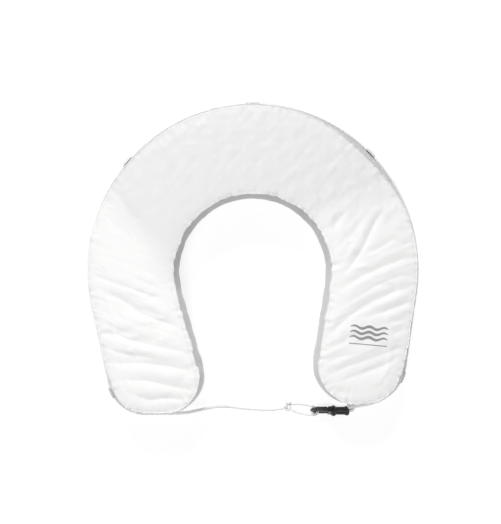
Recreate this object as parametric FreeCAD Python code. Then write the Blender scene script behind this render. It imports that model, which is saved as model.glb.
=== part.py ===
"""Horseshoe lifebuoy: foam in a zipped fabric cover, with a grab line and a snap-hooked closing line.

The buoy lies on its back. X is across the legs, +Y points from the mouth to the crown, +Z is up through the
front panel, and the back panel rests on z = 0. Lengths are millimetres and angles are degrees.
"""

import FreeCAD, Part
import math
import os

V = FreeCAD.Vector
UP = V(0, 0, 1)

# ---------------------------------------------------------------- driving dimensions
THICKNESS = 100.0  # back panel to front panel
SKIN = 1.2  # coated cover fabric
BULGE = 7.0  # how far the gusset stands proud of the seams at mid height
FOAM_LAYERS = 3

CROWN_CENTRE = V(0, -19, 0)
CROWN_RADIUS = 296.0
ARCH_CENTRE = V(0, -26, 0)
ARCH_RADIUS = 144.0
LEFT_OUTER = V(-247, -278.8, 0)  # where a leg's sides would meet if its end were square
LEFT_INNER = V(-78, -278.8, 0)
RIGHT_INNER = V(109, -263, 0)
RIGHT_OUTER = V(265, -261, 0)
LEFT_CORNER_RADIUS = 60.0
RIGHT_INNER_CORNER_RADIUS = 65.0
RIGHT_OUTER_CORNER_RADIUS = 72.0

ZIP_START = 52.0  # angles about the crown's centre
ZIP_END = 128.0
ZIP_Z = 30.0
ZIP_COIL_WIDTH = 3.0
ZIP_COIL_PROUD = 1.1
ZIP_TAPE_WIDTH = 6.5
ZIP_TAPE_SUNK = 0.2  # how far the tapes lie below the cover's surface
ZIP_STOP_LENGTH = 3.0
ZIP_STOP_HEIGHT = 2.4
ZIP_STOP_LOW = 0.3  # above the cover's surface
ZIP_STOP_INSET = 0.6  # degrees from the zip's end
SLIDER_LENGTH = 12.0
SLIDER_WIDTH = 10.0
SLIDER_REST = 124.5  # the zip is closed with its slider here
SLIDER_CLEARANCE = 0.5  # between the coil and the slider's roof
SLIDER_ROOF = 1.6
SLIDER_WALL = 1.4
SLIDER_WALL_LOW = 0.6
EAR_REACH = 2.9  # the pull's ears: half their overall width
EAR_THICKNESS = 1.2
EAR_LENGTH = 4.4
EAR_HEIGHT = 4.0
PULL_PIVOT_HEIGHT = 3.9  # above the underside of the slider's roof
PULL_LENGTH = 24.0
PULL_WIDTH = 7.0
PULL_THICKNESS = 1.6
PULL_NECK_HALF_WIDTH = 1.35
PULL_NECK_LENGTH = 4.0
PULL_SHOULDER = 7.0  # from the pivot to the pull's full width
PULL_POINT = 2.0
PULL_HUB_RADIUS = 1.9
PULL_PIN_RADIUS = 0.9
PIN_CLEARANCE = 0.08

ROPE = 5.5  # grab line and closing line
ROPE_Z = 56.0
ROPE_GAP = 0.15
TAB_GAP = 0.15  # between a tab and what it lies on
WEBBING = 1.4
TAB_FOOT = 10.0  # sewn foot of a rope tab, each side of its loop
TAB_WIDTH = 20.0
CROWN_TAB_WIDTH = 26.0
CROWN_TAB = 90.0  # where the tabs are, as angles about the centres of the turns they are sewn to
UPPER_LEFT_TAB = 139.5
UPPER_RIGHT_TAB = 44.5
LOWER_LEFT_TAB = 206.0
LOWER_RIGHT_TAB = 338.0

HOOK_NOSE = V(110.5, -293, 10.9)  # on the hook's long axis, at the tip
HOOK_ROLL = -25.0  # the hook leans towards the leg
HOOK_SPINE_BOTTOM = -10.2
HOOK_SPINE_TOP = -4.9
HOOK_TOP = 16.0
HOOK_HALF_WIDTH = 3.2
HOOK_BACK = 40.0  # along the hook's axis from its tip, as are the lengths below
BAY_FRONT = 7.6
BAY_BACK = 34.0
BEAK_LENGTH = 10.5
BEAK_UNDERSIDE = 12.6
NOSE_TIP_HALF_WIDTH = 1.0
NOSE_TAPER_END = 9.0
NOSE_TAPER_HALF_WIDTH = 3.4
HINGE_START = 33.8
HINGE_END = 42.0
HINGE_BOTTOM = -8.4
HINGE_TOP = 15.4
HINGE_HALF_WIDTH = 5.4
COLLAR_START = 37.0
COLLAR_RIM = 43.2
COLLAR_END = 45.0
COLLAR_NECK_RADIUS = 5.6
COLLAR_RADIUS = 10.4
GATE_PIVOT = (37.0, 11.0)  # along the hook, and above its axis
GATE_START = 11.0
GATE_END = 32.4
GATE_BOTTOM = 10.8
GATE_TOP = 15.8
GATE_HALF_WIDTH = 4.4
TONGUE_START = 8.0
TONGUE_BOTTOM = 9.4
TONGUE_TOP = 12.3
GROOVE_START = 14.5
GROOVE_LENGTH = 15.0
GROOVE_WIDTH = 2.2
GROOVE_DEPTH = 0.9
GATE_HUB_RADIUS = 3.4
GATE_HUB_HALF_WIDTH = 2.6
GATE_HUB_CLEARANCE = 0.25
GATE_PIN_RADIUS = 1.5
SPRING_LENGTH = 5.2
SPRING_HALF_WIDTH = 2.0
SPRING_THICKNESS = 0.5
SPRING_BASE = 6.6
SPRING_RISE = 0.3
SWIVEL_PIN_RADIUS = 3.0
SWIVEL_PIN_START = 39.0
SWIVEL_HEAD_RADIUS = 5.0
SWIVEL_HEAD_LENGTH = 2.6
BARREL_START = 45.3
BARREL_LENGTH = 29.7
BARREL_RADIUS = 7.6
BARREL_RIM = 1.6
BARREL_SKIRT = 5.0
BARREL_COLLAR_LENGTH = 7.0
BARREL_END_RADIUS = 9.0
BARREL_CHAMFER = 2.0
CHAMBER_START = 10.0  # from the barrel's start
CHAMBER_END = 4.0  # from the barrel's end
CHAMBER_RADIUS = 5.4
ROPE_HOLE_CLEARANCE = 0.3

CLOSING_ROUTE = [  # from the left leg's end down to the eye knot
    V(-146.0, -288.6, 56.0), V(-127.0, -287.9, 55.2), V(-109.0, -285.4, 51.0), V(-92.5, -283.2, 42.0),
    V(-77.0, -282.6, 29.5), V(-61.5, -283.2, 17.0), V(-44.0, -285.6, 7.0), V(-23.5, -289.4, 2.9),
    V(-1.0, -290.7, 2.9), V(21.5, -292.7, 2.9), V(43.0, -292.3, 2.9), V(63.0, -288.6, 4.2),
]
EYE_ROUTE = [  # out of the eye knot, through the hook and back
    V(70.0, -280.8, 6.4), V(83.0, -280.2, 5.0), V(97.0, -280.9, 5.2), V(110.5, -283.0, 6.6),
    V(120.5, -286.6, 7.9), V(125.2, -290.2, 9.6), V(125.2, -295.8, 12.2), V(120.0, -299.9, 14.1),
    V(109.0, -300.3, 13.4), V(96.0, -298.4, 9.0), V(83.0, -296.0, 5.0), V(71.0, -289.5, 5.2),
]
TAIL_ROUTE = [  # from the right leg's end down to the tail knot
    V(228.5, -267.3, 56.0), V(215.7, -271.6, 54.9), V(203.3, -276.0, 49.0), V(194.8, -279.6, 38.0),
    V(191.0, -281.8, 25.0), V(190.2, -283.0, 13.0),
]
ARC_SHARE = 0.45  # how much of a run the arc at its end may take
TAIL_EXIT_TURN = 18.0  # how far round the right leg's outer corner the tail leaves the gusset
EYE_KNOT_LOBES = (V(67.5, -279.8, 8.3), V(67.5, -286.4, 8.3))
EYE_KNOT_RADIUS = 8.1
TAIL_KNOT_LOBES = (V(188.4, -283.0, 13.0), V(191.8, -283.8, 12.0))
TAIL_KNOT_RADIUS = 7.6
KNOT_GAP = 0.3  # between the tail knot and the barrel
STOPPER_RADIUS = 4.2  # the figure knot inside the barrel
STOPPER_DEPTH = 9.0  # its centre, from the barrel's end

# ---------------------------------------------------------------- derived dimensions
WALL_RADIUS = ((THICKNESS / 2) ** 2 + BULGE**2) / (2 * BULGE)
INNER_LOW = SKIN
INNER_HIGH = THICKNESS - SKIN
ROPE_RADIUS = ROPE / 2


def direction(angle):
    """The unit vector at an angle in the XY plane."""
    return V(math.cos(math.radians(angle)), math.sin(math.radians(angle)), 0)


def wall_out(z, inset=0.0):
    """How far the bulging wall stands out from the seam line at height z."""
    return math.sqrt((WALL_RADIUS - inset) ** 2 - (z - THICKNESS / 2) ** 2) - (WALL_RADIUS - BULGE)


# ---------------------------------------------------------------- outline
class Turn:
    """One round stretch of the outline, from a start angle to an end angle about its centre."""

    def __init__(self, centre, radius, start, end, hollow=False):
        self.centre = centre
        self.radius = radius
        self.start = start
        self.end = end
        self.side = -1 if hollow else 1

    def normal(self, angle):
        return direction(angle) * self.side

    def point(self, angle, out=0.0):
        return self.centre + direction(angle) * (self.radius + self.side * out)

    def part(self, start, end):
        return Turn(self.centre, self.radius, start, end, self.side < 0)


def tangent_angle(centre, radius, corner, side):
    """The angle at which a line from a corner touches a circle."""
    towards = corner - centre
    bearing = math.degrees(math.atan2(towards.y, towards.x))
    return bearing + side * math.degrees(math.acos(radius / towards.Length))


def corner_turn(corner, radius, first_normal, last_normal):
    """The arc that rounds a corner between two sides with these outward normals."""
    a = direction(first_normal)
    b = direction(last_normal)
    centre = corner - (a + b) * (radius / (1 + a.dot(b)))
    return Turn(centre, radius, first_normal, last_normal)


def outline_turns():
    """The outline's arcs, anticlockwise from the right leg's outer side. Straight sides join them."""
    right = tangent_angle(CROWN_CENTRE, CROWN_RADIUS, RIGHT_OUTER, 1)
    left = tangent_angle(CROWN_CENTRE, CROWN_RADIUS, LEFT_OUTER, -1) + 360
    arch_left = tangent_angle(ARCH_CENTRE, ARCH_RADIUS, LEFT_INNER, -1) + 360
    arch_right = tangent_angle(ARCH_CENTRE, ARCH_RADIUS, RIGHT_INNER, 1)
    slope = math.degrees(math.atan2(RIGHT_OUTER.y - RIGHT_INNER.y, RIGHT_OUTER.x - RIGHT_INNER.x))
    crown = Turn(CROWN_CENTRE, CROWN_RADIUS, right, left)
    left_outer = corner_turn(LEFT_OUTER, LEFT_CORNER_RADIUS, left, 270)
    left_inner = corner_turn(LEFT_INNER, LEFT_CORNER_RADIUS, 270, arch_left + 180)
    arch = Turn(ARCH_CENTRE, ARCH_RADIUS, arch_left, arch_right, hollow=True)
    right_inner = corner_turn(RIGHT_INNER, RIGHT_INNER_CORNER_RADIUS, arch_right + 180, 270 + slope)
    right_outer = corner_turn(RIGHT_OUTER, RIGHT_OUTER_CORNER_RADIUS, 270 + slope, 360 + right)
    return crown, left_outer, left_inner, arch, right_inner, right_outer


CROWN, LEFT_OUTER_TURN, LEFT_INNER_TURN, ARCH, RIGHT_INNER_TURN, RIGHT_OUTER_TURN = outline_turns()
OUTLINE = [CROWN, LEFT_OUTER_TURN, LEFT_INNER_TURN, ARCH, RIGHT_INNER_TURN, RIGHT_OUTER_TURN]


# ---------------------------------------------------------------- sweeps along the outline
def join(solids):
    """One clean solid from touching solids."""
    first = solids[0]
    if len(solids) > 1:
        first = first.fuse(solids[1:])
    return first.removeSplitter()


def stretches(turns, closed=False):
    """Each straight side and arc in order, as (start point, outward normal, straight move or Turn)."""
    found = []
    last = turns[-1] if closed else None
    for turn in turns:
        if last is not None:
            start = last.point(last.end)
            move = turn.point(turn.start) - start
            if move.Length > 0.01:
                found.append((start, last.normal(last.end), move))
        if abs(turn.end - turn.start) > 0.01:
            found.append((turn.point(turn.start), turn.normal(turn.start), turn))
        last = turn
    return found


def sweep_pieces(section, turns, closed=False):
    """Carries a drawn section along each stretch. section(start, normal) gives an edge or a face."""
    pieces = []
    for start, normal, move in stretches(turns, closed):
        drawn = section(start, normal)
        if isinstance(move, Turn):
            pieces.append(drawn.revolve(move.centre, UP, move.end - move.start))
        else:
            pieces.append(drawn.extrude(move))
    return pieces


def station(start, normal, out, z):
    return start + normal * out + UP * z


def wall_arc(start, normal, inset, z_low, z_high):
    """The bulging wall's edge between two heights."""
    heights = (z_low, (z_low + z_high) / 2, z_high)
    points = [station(start, normal, wall_out(z, inset), z) for z in heights]
    return Part.Arc(*points).toShape()


def outline_face(out, z):
    """The flat area inside the outline, offset outward."""
    edges = []
    last = OUTLINE[-1]
    for turn in OUTLINE:
        edges.append(Part.LineSegment(last.point(last.end, out), turn.point(turn.start, out)).toShape())
        middle = turn.point((turn.start + turn.end) / 2, out)
        edges.append(Part.Arc(turn.point(turn.start, out), middle, turn.point(turn.end, out)).toShape())
        last = turn
    face = Part.Face(Part.Wire(edges))
    face.translate(UP * z)
    return face


def layer(z_low, z_high, inset):
    """A horizontal slice of the buoy, inside the cover by inset."""
    walls = sweep_pieces(lambda s, n: wall_arc(s, n, inset, z_low, z_high), OUTLINE, closed=True)
    caps = [outline_face(wall_out(z, inset), z) for z in (z_low, z_high)]
    shell = Part.Compound(walls + caps)
    shell.sewShape()
    return Part.makeSolid(Part.Shell(shell.Faces))


def band(turns, inner, outer, z_low, z_high):
    """A strip that follows the wall, between two distances outside the cover's surface."""

    def section(start, normal):
        near = wall_arc(start, normal, -inner, z_low, z_high)
        far = wall_arc(start, normal, -outer, z_low, z_high)
        low = Part.LineSegment(near.Vertexes[0].Point, far.Vertexes[0].Point).toShape()
        high = Part.LineSegment(far.Vertexes[-1].Point, near.Vertexes[-1].Point).toShape()
        return Part.Face(Part.Wire(Part.__sortEdges__([near, high, far, low])))

    return join(sweep_pieces(section, turns))


# ---------------------------------------------------------------- cover and foam
def foam():
    """Laminated foam layers, glued face to face."""
    names = ("back", "middle", "front")
    step = (INNER_HIGH - INNER_LOW) / FOAM_LAYERS
    layers = {}
    for i, name in enumerate(names):
        layers[f"foam_layer_{name}"] = layer(INNER_LOW + i * step, INNER_LOW + (i + 1) * step, SKIN)
    return layers


def cover():
    """Front and back panels, and the gusset strips round the edge, sewn end to end."""
    zip_half = ZIP_COIL_WIDTH / 2 + ZIP_TAPE_WIDTH
    left_end = Turn(LEFT_INNER_TURN.centre, LEFT_CORNER_RADIUS, 270, 270)
    slope = RIGHT_OUTER_TURN.start
    right_end = Turn(RIGHT_OUTER_TURN.centre, RIGHT_OUTER_CORNER_RADIUS, slope, slope)
    left = [CROWN.part(ZIP_END, CROWN.end), LEFT_OUTER_TURN, left_end]
    inner = [LEFT_INNER_TURN, ARCH, RIGHT_INNER_TURN, right_end]
    right = [RIGHT_OUTER_TURN, CROWN.part(CROWN.start + 360, ZIP_START + 360)]
    crown = [CROWN.part(ZIP_START, ZIP_END)]
    return {
        "front_panel": layer(INNER_HIGH, THICKNESS, 0),
        "back_panel": layer(0, INNER_LOW, 0),
        "outer_gusset_left": band(left, -SKIN, 0, INNER_LOW, INNER_HIGH),
        "inner_gusset": band(inner, -SKIN, 0, INNER_LOW, INNER_HIGH),
        "outer_gusset_right": band(right, -SKIN, 0, INNER_LOW, INNER_HIGH),
        "crown_gusset_front": band(crown, -SKIN, 0, ZIP_Z + zip_half, INNER_HIGH),
        "crown_gusset_back": band(crown, -SKIN, 0, INNER_LOW, ZIP_Z - zip_half),
    }


# ---------------------------------------------------------------- zip
def crown_block(angle, length, heights, reach):
    """A block on the crown's wall at zip height, its sides following the crown.

    heights are its two Z values, and reach is how far its faces stand off the cover's surface.
    """
    low, high = sorted(heights)
    near, far = reach
    base = CROWN_RADIUS + wall_out(ZIP_Z)
    sweep = math.degrees(length / base)
    out = direction(angle - sweep / 2)
    corner = CROWN_CENTRE + out * (base + near) + UP * low
    rise = UP * (high - low)
    across_wall = out * (far - near)
    corners = [corner, corner + across_wall, corner + across_wall + rise, corner + rise, corner]
    face = Part.Face(Part.makePolygon(corners))
    return face.revolve(CROWN_CENTRE, UP, sweep)


def zip_stops():
    """A stop on each tape at each end of the zip."""
    stops = []
    for angle in (ZIP_START + ZIP_STOP_INSET, ZIP_END - ZIP_STOP_INSET):
        for side in (-1, 1):
            near = ZIP_Z + side * ZIP_COIL_WIDTH / 2
            far = near + side * ZIP_STOP_HEIGHT
            stops.append(crown_block(angle, ZIP_STOP_LENGTH, (near, far), (ZIP_STOP_LOW, ZIP_COIL_PROUD)))
    return Part.makeCompound(stops)


def zip_slider(roof, pivot):
    """A roof over the coil, a wall on each side of it, and two ears with the pull's pin between them."""
    top = roof + SLIDER_ROOF
    half = SLIDER_WIDTH / 2
    solids = [crown_block(SLIDER_REST, SLIDER_LENGTH, (ZIP_Z - half, ZIP_Z + half), (roof, top))]
    for side in (-1, 1):
        wall = ZIP_Z + side * half
        ear = ZIP_Z + side * EAR_REACH
        wall_span = (wall, wall - side * SLIDER_WALL)
        ear_span = (ear, ear - side * EAR_THICKNESS)
        solids.append(crown_block(SLIDER_REST, SLIDER_LENGTH, wall_span, (SLIDER_WALL_LOW, roof)))
        solids.append(crown_block(SLIDER_REST, EAR_LENGTH, ear_span, (top, top + EAR_HEIGHT)))
    pin = Part.makeCylinder(PULL_PIN_RADIUS, 2 * EAR_REACH, pivot - UP * EAR_REACH, UP)
    return join(solids).fuse(pin).removeSplitter()


def zip_pull(pivot):
    """A flat pointed tag on a hub, hanging back along the zip."""
    along = direction(SLIDER_REST - 90)
    out = direction(SLIDER_REST)
    neck = PULL_NECK_HALF_WIDTH
    half = PULL_WIDTH / 2
    profile = [
        (0, neck),
        (PULL_NECK_LENGTH, neck),
        (PULL_SHOULDER, half),
        (PULL_LENGTH - PULL_POINT, half),
        (PULL_LENGTH, 0),
        (PULL_LENGTH - PULL_POINT, -half),
        (PULL_SHOULDER, -half),
        (PULL_NECK_LENGTH, -neck),
        (0, -neck),
        (0, neck),
    ]
    back = pivot - out * (PULL_THICKNESS / 2)
    plate = Part.Face(Part.makePolygon([back + along * x + UP * z for x, z in profile]))
    hub = Part.makeCylinder(PULL_HUB_RADIUS, 2 * neck, pivot - UP * neck, UP)
    bore = Part.makeCylinder(PULL_PIN_RADIUS + PIN_CLEARANCE, 4 * neck, pivot - UP * 2 * neck, UP)
    return plate.extrude(out * PULL_THICKNESS).fuse(hub).cut(bore).removeSplitter()


def zip_parts():
    """Two tapes, the coil between them, stops, and a slider with its hinged pull."""
    crown = [CROWN.part(ZIP_START, ZIP_END)]
    coil_low = ZIP_Z - ZIP_COIL_WIDTH / 2
    coil_high = ZIP_Z + ZIP_COIL_WIDTH / 2
    roof = ZIP_COIL_PROUD + SLIDER_CLEARANCE
    pivot_reach = CROWN_RADIUS + wall_out(ZIP_Z) + roof + PULL_PIVOT_HEIGHT
    pivot = CROWN_CENTRE + direction(SLIDER_REST) * pivot_reach + UP * ZIP_Z
    return {
        "zip_tape_back": band(crown, -SKIN, -ZIP_TAPE_SUNK, coil_low - ZIP_TAPE_WIDTH, coil_low),
        "zip_tape_front": band(crown, -SKIN, -ZIP_TAPE_SUNK, coil_high, coil_high + ZIP_TAPE_WIDTH),
        "zip_coil": band(crown, -SKIN, ZIP_COIL_PROUD, coil_low, coil_high),
        "zip_stops": zip_stops(),
        "zip_slider": zip_slider(roof, pivot),
        "zip_pull": zip_pull(pivot),
    }


# ---------------------------------------------------------------- grab line and its tabs
def rope_out():
    """How far the rope's centre is from the seam line."""
    return wall_out(ROPE_Z) + ROPE_RADIUS + ROPE_GAP


def grab_line():
    """The rope held against the gusset, from the right leg's end round the crown to the left leg's end."""

    def section(start, normal):
        centre = station(start, normal, rope_out(), ROPE_Z)
        circle = Part.Circle(centre, normal.cross(UP), ROPE_RADIUS).toShape()
        return Part.Face(Part.Wire(circle))

    exit_centre = V(CLOSING_ROUTE[0].x, LEFT_INNER_TURN.centre.y, 0)
    left_end = Turn(exit_centre, LEFT_CORNER_RADIUS, 270, 270)
    right = RIGHT_OUTER_TURN.part(RIGHT_OUTER_TURN.start + TAIL_EXIT_TURN, RIGHT_OUTER_TURN.end)
    crown = CROWN.part(CROWN.start + 360, CROWN.end + 360)
    left = LEFT_OUTER_TURN.part(LEFT_OUTER_TURN.start + 360, LEFT_OUTER_TURN.end + 360)
    return join(sweep_pieces(section, [right, crown, left, left_end]))


def rope_tab(turn, angle, width):
    """A webbing strap sewn to the gusset above and below the rope, and looped over it."""
    reach = ROPE_RADIUS + ROPE_GAP + TAB_GAP
    sweep = math.degrees(width / (turn.radius + BULGE))
    start_angle = angle - sweep / 2
    start = turn.point(start_angle)
    normal = turn.normal(start_angle)

    def at(out, z):
        return station(start, normal, wall_out(z) + out, z)

    def half_profile(side):
        """The strap's points on one side of the rope, along its underside and back along its top."""
        foot = ROPE_Z + side * (reach + TAB_FOOT)
        centre = station(start, normal, rope_out(), ROPE_Z)
        under = [at(TAB_GAP, foot), at(TAB_GAP, ROPE_Z + side * reach), centre + UP * side * reach]
        outer = reach + WEBBING
        top = TAB_GAP + WEBBING
        over = [centre + UP * side * outer, at(top, ROPE_Z + side * outer), at(top, foot)]
        return under, over

    def arc(low, high, radius):
        tip = station(start, normal, rope_out() + radius, ROPE_Z)
        return Part.Arc(low, tip, high).toShape()

    low_under, low_over = half_profile(-1)
    high_under, high_over = half_profile(1)
    lines = []
    for under, over in ((low_under, low_over), (high_under, high_over)):
        lines += [*zip(under, under[1:]), *zip(over, over[1:]), (over[-1], under[0])]
    edges = [Part.LineSegment(a, b).toShape() for a, b in lines]
    edges.append(arc(low_under[-1], high_under[-1], reach))
    edges.append(arc(low_over[0], high_over[0], reach + WEBBING))
    wire = Part.Wire(Part.__sortEdges__(edges))
    return Part.Face(wire).revolve(turn.centre, UP, sweep)


def rope_tabs():
    return {
        "rope_tab_crown": rope_tab(CROWN, CROWN_TAB, CROWN_TAB_WIDTH),
        "rope_tab_upper_left": rope_tab(CROWN, UPPER_LEFT_TAB, TAB_WIDTH),
        "rope_tab_upper_right": rope_tab(CROWN, UPPER_RIGHT_TAB, TAB_WIDTH),
        "rope_tab_lower_left": rope_tab(LEFT_OUTER_TURN, LOWER_LEFT_TAB, TAB_WIDTH),
        "rope_tab_lower_right": rope_tab(RIGHT_OUTER_TURN, LOWER_RIGHT_TAB, TAB_WIDTH),
    }


# ---------------------------------------------------------------- free cords
def rope_path(points):
    """Straight runs joined by tangent arcs, each as large as its two runs allow."""
    edges = []
    here = points[0]
    for before, corner, after in zip(points, points[1:], points[2:]):
        arrive = (corner - before).normalize()
        leave = (after - corner).normalize()
        shorter_run = min(corner.distanceToPoint(before), corner.distanceToPoint(after))
        cut = ARC_SHARE * shorter_run
        radius = cut / math.tan(arrive.getAngle(leave) / 2)
        arc_start = corner - arrive * cut
        arc_end = corner + leave * cut
        bisector = (leave - arrive).normalize()
        middle = corner + bisector * (math.hypot(radius, cut) - radius)
        edges.append(Part.LineSegment(here, arc_start).toShape())
        edges.append(Part.Arc(arc_start, middle, arc_end).toShape())
        here = arc_end
    edges.append(Part.LineSegment(here, points[-1]).toShape())
    return edges


def rope_tube(points):
    """A round rope along its path, one exact piece per run and arc."""
    pieces = []
    for edge in rope_path(points):
        start = edge.valueAt(edge.FirstParameter)
        along = edge.tangentAt(edge.FirstParameter)
        face = Part.Face(Part.Wire(Part.Circle(start, along, ROPE_RADIUS).toShape()))
        if isinstance(edge.Curve, Part.Line):
            end = edge.valueAt(edge.LastParameter)
            pieces.append(face.extrude(end - start))
        else:
            sweep = math.degrees(edge.Length / edge.Curve.Radius)
            pieces.append(face.revolve(edge.Curve.Center, edge.Curve.Axis, sweep))
    return join(pieces)


def knot(lobes, radius):
    """The outer shape of a small round knot."""
    first, second = [Part.makeSphere(radius, lobe) for lobe in lobes]
    return first.fuse(second).removeSplitter()


def cylinder_to(end, radius, length):
    """A cylinder along X that stops at end."""
    return Part.makeCylinder(radius, length, end - V(length, 0, 0), V(1, 0, 0))


def cords():
    """The closing line, its eye and both knots, and the tail that holds the hook."""
    closing = rope_tube(CLOSING_ROUTE)
    eye = rope_tube(EYE_ROUTE)
    tail = rope_tube(TAIL_ROUTE)
    eye_knot = knot(EYE_KNOT_LOBES, EYE_KNOT_RADIUS)
    tail_knot = knot(TAIL_KNOT_LOBES, TAIL_KNOT_RADIUS)
    barrel_end = HOOK_NOSE + V(BARREL_START + BARREL_LENGTH, 0, 0)
    barrel_room = cylinder_to(barrel_end + V(KNOT_GAP, 0, 0), BARREL_END_RADIUS + KNOT_GAP, BARREL_LENGTH)
    stopper_centre = barrel_end - V(STOPPER_DEPTH, 0, 0)
    neck_end = barrel_end + V(BARREL_CHAMFER + ROPE_RADIUS + KNOT_GAP, 0, 0)
    neck = cylinder_to(neck_end, ROPE_RADIUS, neck_end.x - stopper_centre.x)
    stopper = Part.makeSphere(STOPPER_RADIUS, stopper_centre)
    tail = tail.cut(tail_knot)
    tail_knot = tail_knot.cut(barrel_room).fuse([neck, stopper]).removeSplitter()
    return {
        "closing_line": closing.cut(eye_knot),
        "eye_loop": eye.cut(eye_knot),
        "eye_knot": eye_knot,
        "tail_line": tail,
        "tail_knot": tail_knot,
    }


# ---------------------------------------------------------------- snap hook
def on_hook(shape):
    """From the hook's own axes (long axis X, gate side +Z) to its place."""
    placed = shape.copy()
    placed.rotate(V(0, 0, 0), V(1, 0, 0), HOOK_ROLL)
    placed.translate(HOOK_NOSE)
    return placed


def side_profile(points, half_width):
    """A flat profile in the hook's XZ plane, made solid to both sides.

    A point with a third value has its corner rounded to that radius.
    """
    corners = [V(p[0], -half_width, p[1]) for p in points]
    radii = [p[2] if len(p) > 2 else 0 for p in points]
    edges = []
    count = len(corners)
    starts = []
    ends = []
    for i, corner in enumerate(corners):
        to_last = (corners[i - 1] - corner).normalize()
        to_next = (corners[(i + 1) % count] - corner).normalize()
        if radii[i] == 0:
            starts.append(corner)
            ends.append(corner)
            continue
        half = to_last.getAngle(to_next) / 2
        cut = radii[i] / math.tan(half)
        start = corner + to_last * cut
        end = corner + to_next * cut
        middle = corner + (to_last + to_next).normalize() * (radii[i] / math.sin(half) - radii[i])
        edges.append(Part.Arc(start, middle, end).toShape())
        starts.append(start)
        ends.append(end)
    for i in range(count):
        line_start = ends[i]
        line_end = starts[(i + 1) % count]
        if line_start.distanceToPoint(line_end) > 0.01:
            edges.append(Part.LineSegment(line_start, line_end).toShape())
    wire = Part.Wire(Part.__sortEdges__(edges))
    return Part.Face(wire).extrude(V(0, 2 * half_width, 0))


def cone_ring(start, end, start_radius, end_radius):
    return Part.makeCone(start_radius, end_radius, end - start, V(start, 0, 0), V(1, 0, 0))


def axial(radius, start, end):
    return Part.makeCylinder(radius, end - start, V(start, 0, 0), V(1, 0, 0))


def across(radius, half_width, x, z):
    return Part.makeCylinder(radius, 2 * half_width, V(x, -half_width, z), V(0, 1, 0))


def hook_frame():
    """The nose, spine and beak, all round the bay."""
    outline = [
        (HOOK_BACK, HOOK_SPINE_BOTTOM),
        (12, HOOK_SPINE_BOTTOM, 9),
        (0.6, 0, 8),
        (0, 9, 5),
        (4, HOOK_TOP, 2.5),
        (BEAK_LENGTH, HOOK_TOP, 1),
        (BEAK_LENGTH, BEAK_UNDERSIDE, 0.4),
        (BAY_FRONT, BEAK_UNDERSIDE, 0.4),
        (BAY_FRONT, HOOK_SPINE_TOP, 4.5),
        (BAY_BACK, HOOK_SPINE_TOP, 4),
        (BAY_BACK + 2, 2),
        (HOOK_BACK, 2),
    ]
    return side_profile(outline, HOOK_HALF_WIDTH)


def nose_cheek(side):
    """What is taken off one side of the nose to taper it."""
    clear = 9 * side
    corners = [
        V(-1, NOSE_TIP_HALF_WIDTH * side, -12),
        V(NOSE_TAPER_END, NOSE_TAPER_HALF_WIDTH * side, -12),
        V(NOSE_TAPER_END, clear, -12),
        V(-1, clear, -12),
    ]
    return Part.Face(Part.makePolygon(corners + corners[:1])).extrude(UP * 30)


def hook_body():
    """Spine, nose and beak, the gate's ears, and the collar that meets the barrel."""
    pivot_x, pivot_z = GATE_PIVOT
    hinge_outline = [
        (HINGE_START, HINGE_BOTTOM, 2),
        (HINGE_START, 13.5, 3),
        (38, HINGE_TOP, 3),
        (HINGE_END, 10, 1),
        (HINGE_END, HINGE_BOTTOM),
    ]
    hinge_block = side_profile(hinge_outline, HINGE_HALF_WIDTH)
    collar = cone_ring(COLLAR_START, COLLAR_RIM, COLLAR_NECK_RADIUS, COLLAR_RADIUS)
    rim = axial(COLLAR_RADIUS, COLLAR_RIM, COLLAR_END)
    hub_room = GATE_HUB_HALF_WIDTH + GATE_HUB_CLEARANCE
    hub_slot = Part.makeBox(12, 2 * hub_room, 14, V(32, -hub_room, 6.5))
    body = hook_frame().fuse([hinge_block, collar.fuse(rim)]).cut(hub_slot)
    body = body.cut(across(GATE_PIN_RADIUS, 8, pivot_x, pivot_z))
    body = body.cut(axial(SWIVEL_PIN_RADIUS, SWIVEL_PIN_START - 1, COLLAR_END + 1))
    for side in (-1, 1):
        body = body.cut(nose_cheek(side))
    return body.removeSplitter()


def hook_gate():
    """The sprung gate: a tongue under the beak, a grooved arm and the hub that its pin runs through."""
    pivot_x, pivot_z = GATE_PIVOT
    arm_outline = [
        (GATE_START, GATE_BOTTOM),
        (GATE_END, GATE_BOTTOM),
        (GATE_END, GATE_TOP - 0.2, 1),
        (GATE_START, GATE_TOP, 1),
    ]
    tongue_outline = [
        (TONGUE_START, TONGUE_BOTTOM, 0.5),
        (TONGUE_START + 5, TONGUE_BOTTOM),
        (TONGUE_START + 5, TONGUE_TOP),
        (TONGUE_START, TONGUE_TOP, 0.5),
    ]
    neck_outline = [(30, GATE_BOTTOM), (pivot_x, 8.4), (pivot_x, 14.2), (30, 15.2)]
    arm = side_profile(arm_outline, GATE_HALF_WIDTH)
    tongue = side_profile(tongue_outline, HOOK_HALF_WIDTH)
    neck = side_profile(neck_outline, GATE_HUB_HALF_WIDTH)
    hub = across(GATE_HUB_RADIUS, GATE_HUB_HALF_WIDTH, pivot_x, pivot_z)
    groove_corner = V(GROOVE_START, -GROOVE_WIDTH / 2, GATE_TOP - GROOVE_DEPTH)
    groove = Part.makeBox(GROOVE_LENGTH, GROOVE_WIDTH, 2, groove_corner)
    bore = across(GATE_PIN_RADIUS + PIN_CLEARANCE, 8, pivot_x, pivot_z)
    return arm.fuse([tongue, neck, hub]).cut(groove).cut(bore).removeSplitter()


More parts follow.
